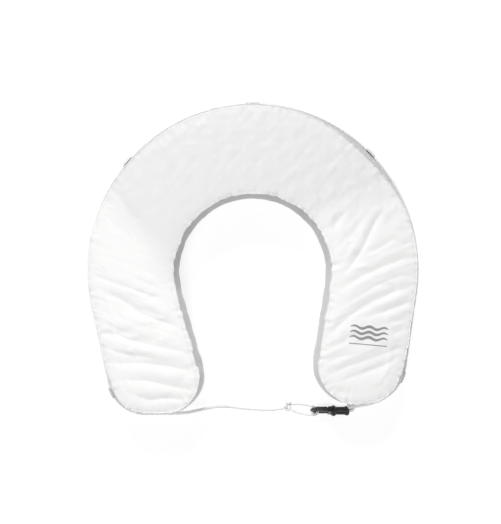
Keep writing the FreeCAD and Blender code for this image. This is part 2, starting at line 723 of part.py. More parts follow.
def gate_spring():
    """An arched steel leaf that bears on the gate's hub from below."""
    middle = GATE_PIVOT[0]
    side = -SPRING_HALF_WIDTH
    first = V(middle - SPRING_LENGTH / 2, side, SPRING_BASE)
    top = V(middle, side, SPRING_BASE + SPRING_RISE)
    last = V(middle + SPRING_LENGTH / 2, side, SPRING_BASE)
    leaf = Part.Arc(first, top, last).toShape().extrude(V(0, 2 * SPRING_HALF_WIDTH, 0))
    return leaf.extrude(UP * SPRING_THICKNESS)


def swivel_barrel():
    """The barrel that the tail is tied into. The hook turns on it by a headed pin."""
    start = BARREL_START
    end = BARREL_START + BARREL_LENGTH
    collar = end - BARREL_COLLAR_LENGTH
    rings = [
        cone_ring(start + BARREL_RIM, start + BARREL_SKIRT, COLLAR_RADIUS, BARREL_RADIUS),
        axial(BARREL_RADIUS, start + BARREL_SKIRT, collar - 1),
        cone_ring(collar - 1.6, collar, BARREL_RADIUS, BARREL_END_RADIUS),
        axial(BARREL_END_RADIUS, collar, end - BARREL_CHAMFER),
        cone_ring(end - BARREL_CHAMFER, end, BARREL_END_RADIUS, BARREL_END_RADIUS - BARREL_CHAMFER),
    ]
    outer = axial(COLLAR_RADIUS, start, start + BARREL_RIM).fuse(rings)
    pin_hole = axial(SWIVEL_PIN_RADIUS + PIN_CLEARANCE, start - 1, start + CHAMBER_START + 2)
    chamber = axial(CHAMBER_RADIUS, start + CHAMBER_START, end - CHAMBER_END)
    rope_hole = axial(ROPE_RADIUS + ROPE_HOLE_CLEARANCE, end - CHAMBER_END - 1, end + 1)
    return outer.cut(pin_hole).cut(chamber).cut(rope_hole).removeSplitter()


def swivel_pin():
    """The headed pin that joins the hook to its barrel."""
    head_start = BARREL_START + CHAMBER_START + 0.4
    shaft = axial(SWIVEL_PIN_RADIUS, SWIVEL_PIN_START, head_start)
    head = axial(SWIVEL_HEAD_RADIUS, head_start, head_start + SWIVEL_HEAD_LENGTH)
    return shaft.fuse(head).removeSplitter()


def hook():
    pivot_x, pivot_z = GATE_PIVOT
    parts = {
        "hook_body": hook_body(),
        "hook_gate": hook_gate(),
        "gate_pin": across(GATE_PIN_RADIUS, HINGE_HALF_WIDTH, pivot_x, pivot_z),
        "gate_spring": gate_spring(),
        "swivel_barrel": swivel_barrel(),
        "swivel_pin": swivel_pin(),
    }
    return {name: on_hook(shape) for name, shape in parts.items()}


# ---------------------------------------------------------------- the part
def main():
    nodes = {}
    for group in (foam(), cover(), zip_parts(), rope_tabs(), cords(), hook()):
        nodes.update(group)
    nodes["grab_line"] = grab_line()
    os.makedirs("parts", exist_ok=True)
    for name, shape in nodes.items():
        if not shape.isValid():
            raise ValueError(name + " isn't a valid shape")
        shape.exportStep(os.path.join("parts", name + ".step"))
    print(len(nodes), "nodes")


main()
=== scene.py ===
"""Horseshoe lifebuoy in a padded white cover, with a grab line, a closing line and a black snap hook."""

import math

import bpy
import numpy as np
from mathutils import Matrix, Vector
from mathutils.bvhtree import BVHTree
from mathutils.geometry import delaunay_2d_cdt


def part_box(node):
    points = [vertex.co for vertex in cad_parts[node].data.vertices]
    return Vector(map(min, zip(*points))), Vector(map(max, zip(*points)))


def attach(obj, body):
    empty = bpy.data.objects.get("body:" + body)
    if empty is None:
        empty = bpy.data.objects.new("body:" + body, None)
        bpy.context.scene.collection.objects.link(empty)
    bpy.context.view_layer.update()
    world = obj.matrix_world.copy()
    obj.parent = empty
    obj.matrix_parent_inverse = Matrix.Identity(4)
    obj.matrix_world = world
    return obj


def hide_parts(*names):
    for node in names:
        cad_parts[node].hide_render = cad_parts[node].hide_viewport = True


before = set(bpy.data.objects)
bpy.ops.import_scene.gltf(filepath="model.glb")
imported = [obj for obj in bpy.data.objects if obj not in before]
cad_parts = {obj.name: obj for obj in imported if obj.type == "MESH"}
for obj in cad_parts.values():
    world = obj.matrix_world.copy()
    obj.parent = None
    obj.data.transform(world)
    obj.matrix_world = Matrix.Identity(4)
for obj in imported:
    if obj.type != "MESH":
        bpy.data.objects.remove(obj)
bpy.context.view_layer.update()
scene = bpy.context.scene

# ---------------------------------------------------------------- dimensions, in metres and degrees
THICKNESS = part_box("front_panel")[1].z
BULGE = 0.007  # how far the gusset stands out at half height
WALL_RADIUS = ((THICKNESS / 2) ** 2 + BULGE**2) / (2 * BULGE)
CROWN_CENTRE = Vector((0, -0.019))
CROWN_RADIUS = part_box("front_panel")[1].x
ARCH_CENTRE = Vector((0, -0.026))
ARCH_RADIUS = 0.144
LEFT_OUTER = Vector((-0.247, -0.2788))
LEFT_INNER = Vector((-0.078, -0.2788))
RIGHT_INNER = Vector((0.109, -0.263))
RIGHT_OUTER = Vector((0.265, -0.261))
LEFT_CORNER_RADIUS = 0.060
RIGHT_INNER_CORNER_RADIUS = 0.065
RIGHT_OUTER_CORNER_RADIUS = 0.072
ZIP_START, ZIP_END = 52.0, 128.0
ZIP_Z = 0.030

ROPE = 0.0055
ROPE_Z = 0.056
ROPE_GAP = 0.00015
TAIL_EXIT_TURN = 18.0  # how far round the right leg's corner the grab line ends
WEBBING = 0.0014
TAB_REACH = ROPE / 2 + 0.0003
TAB_FOOT = 0.010

CLOSING_ROUTE = [
    (-0.1460, -0.2886, 0.0560), (-0.1270, -0.2879, 0.0552), (-0.1090, -0.2854, 0.0510),
    (-0.0925, -0.2832, 0.0420), (-0.0770, -0.2826, 0.0295), (-0.0615, -0.2832, 0.0170),
    (-0.0440, -0.2856, 0.0070), (-0.0235, -0.2894, 0.0029), (-0.0010, -0.2907, 0.0029),
    (0.0215, -0.2927, 0.0029), (0.0430, -0.2923, 0.0029), (0.0630, -0.2886, 0.0042),
]
EYE_ROUTE = [
    (0.0700, -0.2808, 0.0064), (0.0830, -0.2802, 0.0050), (0.0970, -0.2809, 0.0052),
    (0.1105, -0.2830, 0.0066), (0.1205, -0.2866, 0.0079), (0.1252, -0.2902, 0.0096),
    (0.1252, -0.2958, 0.0122), (0.1200, -0.2999, 0.0141), (0.1090, -0.3003, 0.0134),
    (0.0960, -0.2984, 0.0090), (0.0830, -0.2960, 0.0050), (0.0710, -0.2895, 0.0052),
]
TAIL_ROUTE = [
    (0.2285, -0.2673, 0.0560), (0.2157, -0.2716, 0.0549), (0.2033, -0.2760, 0.0490),
    (0.1948, -0.2796, 0.0380), (0.1910, -0.2818, 0.0250), (0.1902, -0.2830, 0.0130),
]
TAIL_KNOT_PLACE = (0.1903, -0.2835, 0.0123)
TAIL_KNOT_REACH = (0.0084, 0.0078, 0.0076)


# ---------------------------------------------------------------- helpers
def node(tree, kind, inputs=None, **properties):
    """A shader node. Each input is given a value, or another node's output to link it to."""
    made = tree.nodes.new("ShaderNode" + kind)
    for key, value in properties.items():
        setattr(made, key, value)
    for key, value in (inputs or {}).items():
        if isinstance(value, bpy.types.NodeSocket):
            tree.links.new(value, made.inputs[key])
        else:
            made.inputs[key].default_value = value
    return made


def ramp(tree, factor, low, high, low_at, high_at):
    """A blend from one colour to another as factor goes from low_at to high_at."""
    made = node(tree, "ValToRGB", {"Fac": factor})
    for stop, place, colour in zip(made.color_ramp.elements, (low_at, high_at), (low, high)):
        stop.position = place
        stop.color = (*colour, 1)
    return made.outputs["Color"]


def new_material(name, colour, roughness, specular=0.5, **more):
    """A material with its main values. More inputs are named with _ for each space."""
    material = bpy.data.materials.new(name)
    material.use_nodes = True
    shader = material.node_tree.nodes["Principled BSDF"]
    shader.inputs["Base Color"].default_value = (*colour, 1)
    shader.inputs["Roughness"].default_value = roughness
    shader.inputs["Specular IOR Level"].default_value = specular
    for key, value in more.items():
        shader.inputs[key.replace("_", " ")].default_value = value
    return material, material.node_tree, shader


def mesh_object(name, vertices, faces, material=None, smooth=True):
    mesh = bpy.data.meshes.new(name)
    mesh.from_pydata([tuple(v) for v in vertices], [], [tuple(f) for f in faces])
    mesh.update()
    if smooth:
        mesh.shade_smooth()
    piece = bpy.data.objects.new(name, mesh)
    scene.collection.objects.link(piece)
    if material:
        mesh.materials.append(material)
    return piece


def evaluated_mesh(piece):
    """A new mesh of the piece with its modifiers applied."""
    return bpy.data.meshes.new_from_object(piece.evaluated_get(bpy.context.evaluated_depsgraph_get()))


def declare(piece, body, slot, *nodes):
    """Puts a piece on its body and hides the CAD nodes that it stands for. The slot is not used."""
    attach(piece, body)
    if nodes:
        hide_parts(*nodes)


def ring_quads(rings, sides, closed=False):
    """Quads between one ring of points and the next. A closed run joins the last ring to the first."""
    return [
        (i * sides + k, i * sides + (k + 1) % sides, j * sides + (k + 1) % sides, j * sides + k)
        for i, j in [(i, (i + 1) % rings) for i in range(rings if closed else rings - 1)]
        for k in range(sides)
    ]


def end_caps(rings, sides):
    last = (rings - 1) * sides
    return [tuple(range(sides))[::-1], tuple(range(last, last + sides))]


def sheet_faces(rows, columns):
    """Faces of a thin sheet: a front grid of rows by columns quads, its back and its edges."""
    stride = columns + 1
    back = (rows + 1) * stride
    corners = [row * stride + k for row in range(rows) for k in range(columns)]
    fronts = [(a, a + 1, a + 1 + stride, a + stride) for a in corners]
    faces = [side for quad in fronts for side in (quad, tuple(v + back for v in reversed(quad)))]
    border = list(range(columns)) + [row * stride + columns for row in range(rows)]
    border += [rows * stride + k for k in range(columns, 0, -1)]
    border += [row * stride for row in range(rows, 0, -1)]
    return faces + [(b, a, a + back, b + back) for a, b in zip(border, border[1:] + border[:1])]


def unit_rows(vectors):
    return vectors / np.linalg.norm(vectors, axis=1)[:, None]


def evened(line, rounds):
    """Smooths a line of points in place, with its ends kept."""
    for _ in range(rounds):
        line[1:-1] = (line[:-2] + 2 * line[1:-1] + line[2:]) / 4
    return line


def read_places(mesh):
    places = np.empty(len(mesh.vertices) * 3)
    mesh.vertices.foreach_get("co", places)
    return places.reshape(-1, 3)


def read_normals(mesh):
    normals = np.empty(len(mesh.vertices) * 3)
    mesh.vertex_normals.foreach_get("vector", normals)
    return normals.reshape(-1, 3)


def read_regions(mesh):
    """Each face's place in REGIONS."""
    regions = np.empty(len(mesh.polygons), int)
    mesh.polygons.foreach_get("material_index", regions)
    return regions


def smooth_step(value, low, high):
    t = np.clip((value - low) / (high - low), 0, 1)
    return t * t * (3 - 2 * t)


def band(value, rise_start, rise_end, fall_start, fall_end):
    """1 inside a band of values and 0 outside it, with soft ends."""
    return smooth_step(value, rise_start, rise_end) * (1 - smooth_step(value, fall_start, fall_end))


# ---------------------------------------------------------------- camera, floor and light
def add_camera():
    data = bpy.data.cameras.new("camera")
    data.lens = 48.5
    data.clip_start = 0.01
    camera = bpy.data.objects.new("camera", data)
    camera.location = (-0.004, -0.00675, 1.370)
    scene.collection.objects.link(camera)
    scene.camera = camera


def add_floor():
    half, below = 40.0, -0.0004
    material, _, _ = new_material(
        "floor_paper", (0.22, 0.22, 0.22), 0.9, 0.1, Emission_Color=(1, 1, 1, 1), Emission_Strength=0.84
    )
    corners = [(x, y, below) for x, y in ((-half, -half), (half, -half), (half, half), (-half, half))]
    mesh_object("floor", corners, [(0, 1, 2, 3)], material, smooth=False)


def add_light(name, place, target, size, power):
    data = bpy.data.lights.new(name, "AREA")
    data.shape = "DISK"
    data.size = size
    data.energy = power
    light = bpy.data.objects.new(name, data)
    light.location = place
    aim = Vector(target) - Vector(place)
    light.rotation_euler = aim.to_track_quat("-Z", "Y").to_euler()
    light.visible_camera = False
    scene.collection.objects.link(light)


def add_world(horizon, zenith):
    """A pale horizon that fades to a dim sky, by the height of the direction looked in."""
    world = bpy.data.worlds.new("studio")
    scene.world = world
    world.use_nodes = True
    tree = world.node_tree
    split = node(tree, "SeparateXYZ", {"Vector": node(tree, "TexCoord").outputs["Generated"]})
    sky = ramp(tree, split.outputs["Z"], (horizon,) * 3, (zenith,) * 3, 0.12, 0.42)
    tree.links.new(sky, tree.nodes["Background"].inputs["Color"])


add_camera()
add_floor()
add_light("key", (-0.45, 3.0, 2.7), (0.0, -0.05, 0.0), 1.2, 112)
add_light("overhead", (-0.45, -0.60, 3.0), (0.0, -0.05, 0.0), 0.9, 44)
add_world(0.92, 0.09)
scene.view_settings.view_transform = "Standard"


# ---------------------------------------------------------------- materials
def object_coords(tree, **mapping):
    place = node(tree, "TexCoord").outputs["Object"]
    return node(tree, "Mapping", {"Vector": place, **mapping}).outputs["Vector"]


def add_bump(tree, shader, height, strength, distance, under=None):
    """Relief from a height, on top of the relief under it."""
    bump = node(tree, "Bump", {"Height": height, "Strength": strength, "Distance": distance})
    if under:
        tree.links.new(under, bump.inputs["Normal"])
    tree.links.new(bump.outputs["Normal"], shader.inputs["Normal"])
    return bump.outputs["Normal"]


def noise(tree, vector, scale, detail=3.0, roughness=0.5):
    inputs = {"Vector": vector, "Scale": scale, "Detail": detail, "Roughness": roughness}
    return node(tree, "TexNoise", inputs).outputs["Fac"]


def tint(tree, shader, factor, low, high, low_at=0.35, high_at=0.65):
    tree.links.new(ramp(tree, factor, low, high, low_at, high_at), shader.inputs["Base Color"])


def crown_shade_share(tree, vector):
    """How much painted shade the crown gets: a value that grows from the legs into the crown. Its edge dips
    in the middle and wanders a little.
    """
    split = node(tree, "SeparateXYZ", {"Vector": vector})
    x, y = split.outputs["X"], split.outputs["Y"]
    size = node(tree, "Math", {0: x}, operation="ABSOLUTE").outputs[0]
    left_lift = {"Value": x, "From Min": -0.1, "From Max": 0.1, "To Min": 0.2, "To Max": 0.0}
    lean = node(tree, "MapRange", left_lift).outputs["Result"]
    wander = noise(tree, vector, 9, 4, 0.6)
    total = y
    for value, factor in ((size, -0.85), (x, 0.35), (lean, 1.0), (wander, 0.10)):
        total = node(tree, "Math", {0: value, 1: factor, 2: total}, operation="MULTIPLY_ADD").outputs[0]
    return total


def coated_fabric(name, colour, shaded_crown_colour):
    """Coated polyester: a fine weave under a smooth, slightly waxy coat. Its crown is painted greyer than the
    legs, as painted shade.
    """
    material, tree, shader = new_material(
        name, colour, 0.46, 0.42, Sheen_Weight=0.08, Coat_Weight=0.08, Coat_Roughness=0.42
    )
    vector = object_coords(tree)
    # painted shade: the crown is tinted darker than the legs
    tint(tree, shader, crown_shade_share(tree, vector), colour, shaded_crown_colour, 0.012, 0.080)
    threads = []
    for turn in (0.0, math.pi / 2):
        turned = node(tree, "Mapping", {"Vector": vector, "Rotation": (0.35, 0.25, turn + 0.3)})
        wave = {"Vector": turned.outputs["Vector"], "Scale": 430, "Distortion": 0.6, "Detail Scale": 2}
        threads.append(node(tree, "TexWave", wave).outputs["Fac"])
    weave = node(tree, "Math", {0: threads[0], 1: threads[1]}, operation="MAXIMUM").outputs[0]
    fine = add_bump(tree, shader, weave, 0.18, 0.0004)
    add_bump(tree, shader, noise(tree, vector, 42, 5, 0.62), 0.22, 0.0014, fine)
    return material


def woven(name, colour, roughness, ribs, strength, specular=0.3, mottle=0.04):
    """A plain woven or braided yarn finish."""
    material, tree, shader = new_material(name, colour, roughness, specular, Sheen_Weight=0.15)
    vector = object_coords(tree)
    low = tuple(max(0.0, c - mottle) for c in colour)
    tint(tree, shader, noise(tree, vector, 260, 4), low, colour)
    wave = {"Vector": vector, "Scale": ribs, "Distortion": 1.2}
    bands = node(tree, "TexWave", wave, bands_direction="DIAGONAL").outputs["Fac"]
    fibres = add_bump(tree, shader, noise(tree, vector, 2600, 2, 0.6), 0.25, 0.0002)
    add_bump(tree, shader, bands, strength, 0.0003, fibres)
    return material


def moulded(name, colour, roughness, grain=0.12, specular=0.5):
    """Injection-moulded plastic with a fine spark-eroded grain."""
    material, tree, shader = new_material(name, colour, roughness, specular)
    vector = object_coords(tree)
    tint(tree, shader, noise(tree, vector, 55, 4), tuple(c * 0.8 for c in colour), colour)
    add_bump(tree, shader, noise(tree, vector, 1500, 3, 0.6), grain, 0.0002)
    return material


def metal(name, colour, roughness):
    material, tree, shader = new_material(name, colour, roughness, Metallic=1.0)
    vector = object_coords(tree, Scale=(1, 1, 14))
    add_bump(tree, shader, noise(tree, vector, 420, 3), 0.08, 0.0002)
    return material


def closed_foam():
    """Closed-cell polyethylene foam."""
    material, tree, shader = new_material("closed_cell_foam", (0.72, 0.72, 0.70), 0.8, 0.25)
    cells = node(tree, "TexVoronoi", {"Vector": object_coords(tree), "Scale": 700})
    add_bump(tree, shader, cells.outputs["Distance"], 0.5, 0.0006)
    return material


# Each fabric's second colour is painted shade on the crown.
FABRIC = coated_fabric("cover_fabric", (0.862, 0.862, 0.857), (0.756, 0.756, 0.754))
# The gusset cloths are greyer copies of the cover fabric: painted shade on the walls, darker still at the
# crown.
SHADED_INNER_FABRIC = coated_fabric("inner_fabric_painted_shade", (0.61, 0.61, 0.608), (0.47, 0.47, 0.468))
SHADED_OUTER_FABRIC = coated_fabric("outer_fabric_painted_shade", (0.64, 0.64, 0.638), (0.46, 0.46, 0.458))
WEB = woven("webbing", (0.74, 0.74, 0.73), 0.6, 900, 0.5)
ROPE_YARN = woven("rope_yarn", (0.90, 0.90, 0.89), 0.5, 1400, 0.3, 0.35, 0.02)
THREAD = woven("thread", (0.77, 0.77, 0.76), 0.5, 2400, 0.4)
TAPE = woven("zip_tape", (0.76, 0.76, 0.755), 0.7, 1500, 0.5)
ZIP_PLASTIC = moulded("zip_plastic", (0.74, 0.74, 0.73), 0.34)
BLACK = moulded("black_plastic", (0.022, 0.022, 0.023), 0.36, 0.2)
STEEL = metal("steel", (0.62, 0.62, 0.63), 0.28)
FOAM = closed_foam()
MARK_INK, _, _ = new_material("mark_ink", (0.28, 0.28, 0.29), 0.5, 0.4)


# ---------------------------------------------------------------- outline
def direction(angle):
    return Vector((math.cos(math.radians(angle)), math.sin(math.radians(angle))))


def wall_out(z):
    """How far the gusset stands out from the seam line at height z."""
    return math.sqrt(WALL_RADIUS**2 - (z - THICKNESS / 2) ** 2) - (WALL_RADIUS - BULGE)


class Turn:
    """One round stretch of the outline, between two angles about its centre."""

    def __init__(self, centre, radius, start, end, side=1):
        self.centre = centre
        self.radius = radius
        self.start = start
        self.end = end
        self.side = side

    def normal(self, angle):
        return direction(angle) * self.side

    def point(self, angle, out=0.0):
        return self.centre + direction(angle) * (self.radius + self.side * out)

    def part(self, start, end):
        return Turn(self.centre, self.radius, start, end, self.side)


def tangent_angle(centre, radius, corner, side):
    towards = corner - centre
    bearing = math.degrees(math.atan2(towards.y, towards.x))
    return bearing + side * math.degrees(math.acos(radius / towards.length))


def corner_turn(corner, radius, first, last):
    a, b = direction(first), direction(last)
    return Turn(corner - (a + b) * (radius / (1 + a.dot(b))), radius, first, last)


def outline_turns():
    """The outline's arcs, anticlockwise from the right leg's outer side. Straight sides join them."""
    right = tangent_angle(CROWN_CENTRE, CROWN_RADIUS, RIGHT_OUTER, 1)
    left = tangent_angle(CROWN_CENTRE, CROWN_RADIUS, LEFT_OUTER, -1) + 360
    arch_left = tangent_angle(ARCH_CENTRE, ARCH_RADIUS, LEFT_INNER, -1) + 360
    arch_right = tangent_angle(ARCH_CENTRE, ARCH_RADIUS, RIGHT_INNER, 1)
    slope = 270 + math.degrees(math.atan2(RIGHT_OUTER.y - RIGHT_INNER.y, RIGHT_OUTER.x - RIGHT_INNER.x))
    return [
        Turn(CROWN_CENTRE, CROWN_RADIUS, right, left),
        corner_turn(LEFT_OUTER, LEFT_CORNER_RADIUS, left, 270),
        corner_turn(LEFT_INNER, LEFT_CORNER_RADIUS, 270, arch_left + 180),
        Turn(ARCH_CENTRE, ARCH_RADIUS, arch_left, arch_right, side=-1),
        corner_turn(RIGHT_INNER, RIGHT_INNER_CORNER_RADIUS, arch_right + 180, slope),
        corner_turn(RIGHT_OUTER, RIGHT_OUTER_CORNER_RADIUS, slope, 360 + right),
    ]


CROWN, LEFT_OUTER_TURN, LEFT_INNER_TURN, ARCH, RIGHT_INNER_TURN, RIGHT_OUTER_TURN = outline_turns()
GUSSETS = ["outer_gusset_right", "crown_gusset", "outer_gusset_left", "inner_gusset"]
STRETCHES = [  # each stretch with the gusset strip that it and the straight side before it belong to
    (CROWN.part(CROWN.start, ZIP_START), "outer_gusset_right"),
    (CROWN.part(ZIP_START, ZIP_END), "crown_gusset"),
    (CROWN.part(ZIP_END, CROWN.end), "outer_gusset_left"),
    (LEFT_OUTER_TURN, "outer_gusset_left"),
    (LEFT_INNER_TURN, "inner_gusset"),
    (ARCH, "inner_gusset"),
    (RIGHT_INNER_TURN, "inner_gusset"),
    (RIGHT_OUTER_TURN, "outer_gusset_right"),
]


def walk(stretches, step, closed=True):
    """Points a step apart along stretches, as arrays: places, outward normals, and whose side each starts."""
    points, normals, owners = [], [], []
    last, last_owner = stretches[-1] if closed else (None, None)
    for turn, owner in stretches:
        if last is not None:
            start, end = last.point(last.end), turn.point(turn.start)
            side_owner = last_owner if turn is LEFT_INNER_TURN or turn is RIGHT_OUTER_TURN else owner
            count = max(1, round((end - start).length / step))
            if (end - start).length > 1e-5:
                for k in range(count):
                    points.append(start.lerp(end, k / count))
                    normals.append(last.normal(last.end))
                    owners.append(side_owner)
        sweep = turn.end - turn.start
        count = max(1, round(abs(math.radians(sweep)) * turn.radius / step))
        for k in range(count):
            angle = turn.start + sweep * k / count
            points.append(turn.point(angle))
            normals.append(turn.normal(angle))
            owners.append(owner)
        last, last_owner = turn, owner
    if not closed:
        points.append(last.point(last.end))
        normals.append(last.normal(last.end))
        owners.append(last_owner)
    return np.array(points), np.array(normals), owners


def arc_lengths(points, closed=False):
    ends = np.roll(points, -1, axis=0) if closed else points[1:]
    starts = points if closed else points[:-1]
    return np.concatenate([[0.0], np.cumsum(np.linalg.norm(ends - starts, axis=1))])


# ---------------------------------------------------------------- ropes
def centreline(points):
    """Points along one open spline through the route's control points."""
    curve = bpy.data.curves.new("route", "CURVE")
    curve.dimensions = "3D"
    spline = curve.splines.new("NURBS")
    spline.points.add(len(points) - 1)
    for point, place in zip(spline.points, points):
        point.co = (*place, 1)
    spline.order_u = 3
    spline.use_endpoint_u = True
    spline.resolution_u = 24
    holder = bpy.data.objects.new("route", curve)
    scene.collection.objects.link(holder)
    bpy.context.view_layer.update()
    mesh = bpy.data.meshes.new_from_object(holder)
    line = read_places(mesh)
    bpy.data.objects.remove(holder)
    bpy.data.curves.remove(curve)
    bpy.data.meshes.remove(mesh)
    return line


def resample(line, step, closed=False):
    if closed:
        line = np.vstack([line, line[:1]])
    along = arc_lengths(line)
    count = max(2, round(along[-1] / step))
    at = np.linspace(0, along[-1], count + 1)
    even = np.column_stack([np.interp(at, along, line[:, k]) for k in range(3)])
    return even[:-1] if closed else even


def rope_frames(line, closed=False):
    """Two unit vectors across the rope at each point, turning as little as they can along it."""
    if closed:
        tangents = np.roll(line, -1, axis=0) - np.roll(line, 1, axis=0)
    else:
        tangents = np.gradient(line, axis=0)
    tangents = unit_rows(tangents)
    start = np.cross(tangents[0], (0.0, 0.0, 1.0))
    if np.linalg.norm(start) < 0.1:
        start = np.cross(tangents[0], (1.0, 0.0, 0.0))
    across = [start / np.linalg.norm(start)]
    for tangent in tangents[1:]:
        kept = across[-1] - tangent * across[-1].dot(tangent)
        across.append(kept / np.linalg.norm(kept))
    across = np.array(across)
    return across, np.cross(tangents, across)


def braid_height(around, along, strands, pitch):
    """A braid's relief, from 0 in the gaps to 1 on top of a strand."""
    u = strands * (around + along / pitch) / 2
    v = strands * (around - along / pitch) / 2
    over = (np.floor(u / math.pi) + np.floor(v / math.pi)) % 2 == 0
    su, sv = np.abs(np.sin(u)), np.abs(np.sin(v))
    return np.where(over, su**0.5 * (0.45 + 0.55 * sv**0.5), sv**0.5 * (0.45 + 0.55 * su**0.5))


def tube_points(line, radius, closed=False):
    """Rings of points round a line, as an array. The radius has a column for each side."""
    across, up = rope_frames(line, closed)
    around = np.linspace(0, 2 * math.pi, radius.shape[1], endpoint=False)
    sideways = across[:, None, :] * (np.cos(around)[None, :] * radius)[:, :, None]
    upward = up[:, None, :] * (np.sin(around)[None, :] * radius)[:, :, None]
    return line[:, None, :] + sideways + upward


def rope_piece(name, line, step=0.0006, sides=40, closed=False):
    """A braided rope along a line of points, with rounded ends."""
    strands, relief = 16, 0.062 * ROPE
    line = resample(line, step, closed)
    along = np.arange(len(line)) * step
    around = np.linspace(0, 2 * math.pi, sides, endpoint=False)
    braid = braid_height(around[None, :], along[:, None], strands, 2.6 * ROPE)
    radius = ROPE / 2 - relief + relief * braid
    if not closed:
        ends = np.minimum(along, along[-1] - along) / (0.28 * ROPE)
        cap = np.sqrt(np.clip(1 - (1 - np.clip(ends, 0, 1)) ** 2, 0.02, 1))
        radius = radius * cap[:, None]
    places = tube_points(line, radius, closed)
    faces = ring_quads(len(line), sides, closed)
    if not closed:
        faces += end_caps(len(line), sides)
    return mesh_object(name, places.reshape(-1, 3), faces, ROPE_YARN)


def knot_piece(name, centre, reach, turn=0.0):
    """A tight knot: a closed loop that passes three times over itself, filling a box of half-sizes reach."""
    t = np.linspace(0, 2 * math.pi, 240, endpoint=False)
    loop = np.column_stack([np.sin(t) + 2 * np.sin(2 * t), np.cos(t) - 2 * np.cos(2 * t), -np.sin(3 * t)])
    loop /= np.abs(loop).max(axis=0)
    loop = loop * (np.array(reach) - ROPE / 2)
    spin = np.array(Matrix.Rotation(turn, 3, "Z"))
    line = loop @ spin.T + np.array(centre)
    return rope_piece(name, line, closed=True, step=0.0005)


def neck_line():
    """The rope's bend inside the barrel's eye, from the barrel's middle out towards the knot."""
    low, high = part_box("swivel_barrel")
    offsets = [
        (-0.009, 0, 0), (-0.002, 0, 0), (0.005, 0.0002, 0),
        (0.009, 0.003, 0.0005), (0.008, 0.008, 0.001),
    ]
    middle = ((low.y + high.y) / 2, (low.z + high.z) / 2)
    return centreline([(high.x + x, middle[0] + y, middle[1] + z) for x, y, z in offsets])


def add_cords():
    """The closing line with its eye, and the tail that carries the hook's barrel."""
    closing_line = centreline(CLOSING_ROUTE)
    eye_line = centreline(EYE_ROUTE)
    tail_line = centreline(TAIL_ROUTE)
    closing = rope_piece("closing_rope", closing_line)
    eye = rope_piece("eye_rope", eye_line)
    tail = rope_piece("tail_rope", tail_line)
    eye_low, eye_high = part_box("eye_knot")
    eye_knot = knot_piece("eye_rope_knot", (eye_low + eye_high) / 2, (eye_high - eye_low) / 2)
    tail_knot = knot_piece("tail_rope_knot", TAIL_KNOT_PLACE, TAIL_KNOT_REACH, 0.5)
    neck = rope_piece("tail_rope_neck", neck_line())
    declare(closing, "buoy", "rope", "closing_line")
    declare(eye, "buoy", "rope", "eye_loop")
    declare(tail, "buoy", "rope", "tail_line")
    declare(eye_knot, "buoy", "rope", "eye_knot")
    declare(tail_knot, "buoy", "rope", "tail_knot")
    declare(neck, "buoy", "rope")


def rope_out():
    """How far the grab line's centre is from the seam line."""
    return wall_out(ROPE_Z) + ROPE / 2 + ROPE_GAP


def add_grab_line():
    """The rope held against the gusset, from the right leg's end round the crown to the left leg's end."""
    end = Turn(Vector((CLOSING_ROUTE[0][0], LEFT_INNER_TURN.centre.y)), LEFT_CORNER_RADIUS, 270, 270)
    route = [
        (RIGHT_OUTER_TURN.part(RIGHT_OUTER_TURN.start + TAIL_EXIT_TURN, RIGHT_OUTER_TURN.end), ""),
        (CROWN, ""),
        (LEFT_OUTER_TURN, ""),
        (end, ""),
    ]
    points, normals, _ = walk(route, 0.004, closed=False)
    line = np.column_stack([points + normals * rope_out(), np.full(len(points), ROPE_Z)])
    declare(rope_piece("grab_rope", line, step=0.0009, sides=28), "buoy", "rope", "grab_line")


# ---------------------------------------------------------------- cover: the base mesh
BASE_STEP = 0.0076
HEIGHTS = np.array([0, 0.0075, 0.015, 0.022, 0.030, 0.038, 0.047, 0.056, 0.065, 0.074, 0.083, 0.092, 0.100])
PANELS = ["front_panel", "back_panel"]
REGIONS = PANELS + GUSSETS + ["crown_gusset_back", "zip_gap"]


def panel_grid(rim, step):
    """A triangle mesh of the flat area inside the rim. Its first points are the rim itself."""
    row_gap = step * 0.866
    low, high = rim.min(axis=0), rim.max(axis=0)
    rows = int((high[1] - low[1]) / row_gap) + 1
    columns = int((high[0] - low[0]) / step) + 2
    grid = np.array([
        (low[0] + (i + 0.5 * (j % 2)) * step, low[1] + j * row_gap)
        for j in range(rows)
        for i in range(columns)
    ])
    gaps = np.linalg.norm(grid[:, None, :] - rim[None, :, :], axis=2).min(axis=1)
    grid = grid[gaps > 0.62 * step]
    count = len(rim)
    places = [Vector(p) for p in np.vstack([rim, grid])]
    loop = [(i, (i + 1) % count) for i in range(count)]
    result = delaunay_2d_cdt(places, loop, [], 1, 1e-7)
    vertices, faces, origins = result[0], result[2], result[3]
    order = [o[0] for o in origins]
    used = sorted({v for face in faces for v in face})
    renumber = {}
    kept = list(rim)
    for v in used:
        if order[v] < count:
            renumber[v] = order[v]
        else:
            renumber[v] = len(kept)
            kept.append(vertices[v])
    return np.array([tuple(v) for v in kept]), [tuple(renumber[v] for v in face) for face in faces]


def panel_faces(flat, triangles, rim_size, base, start, looks_up):
    """A panel's triangles as faces: rim points from base on, inner points from start on."""
    faces = []
    for face in triangles:
        corners = [base + v if v < rim_size else start + v for v in face]
        (ax, ay), (bx, by), (cx, cy) = (flat[v] for v in face)
        upward = (bx - ax) * (cy - ay) - (by - ay) * (cx - ax) > 0
        faces.append(tuple(corners if upward == looks_up else corners[::-1]))
    return faces


def gusset_region(owner, z):
    """The region of a gusset face whose lower edge is at z: the crown's gusset is split by the zip."""
    if owner != "crown_gusset" or z >= 0.037:
        return owner
    return "crown_gusset_back" if z < 0.021 else "zip_gap"


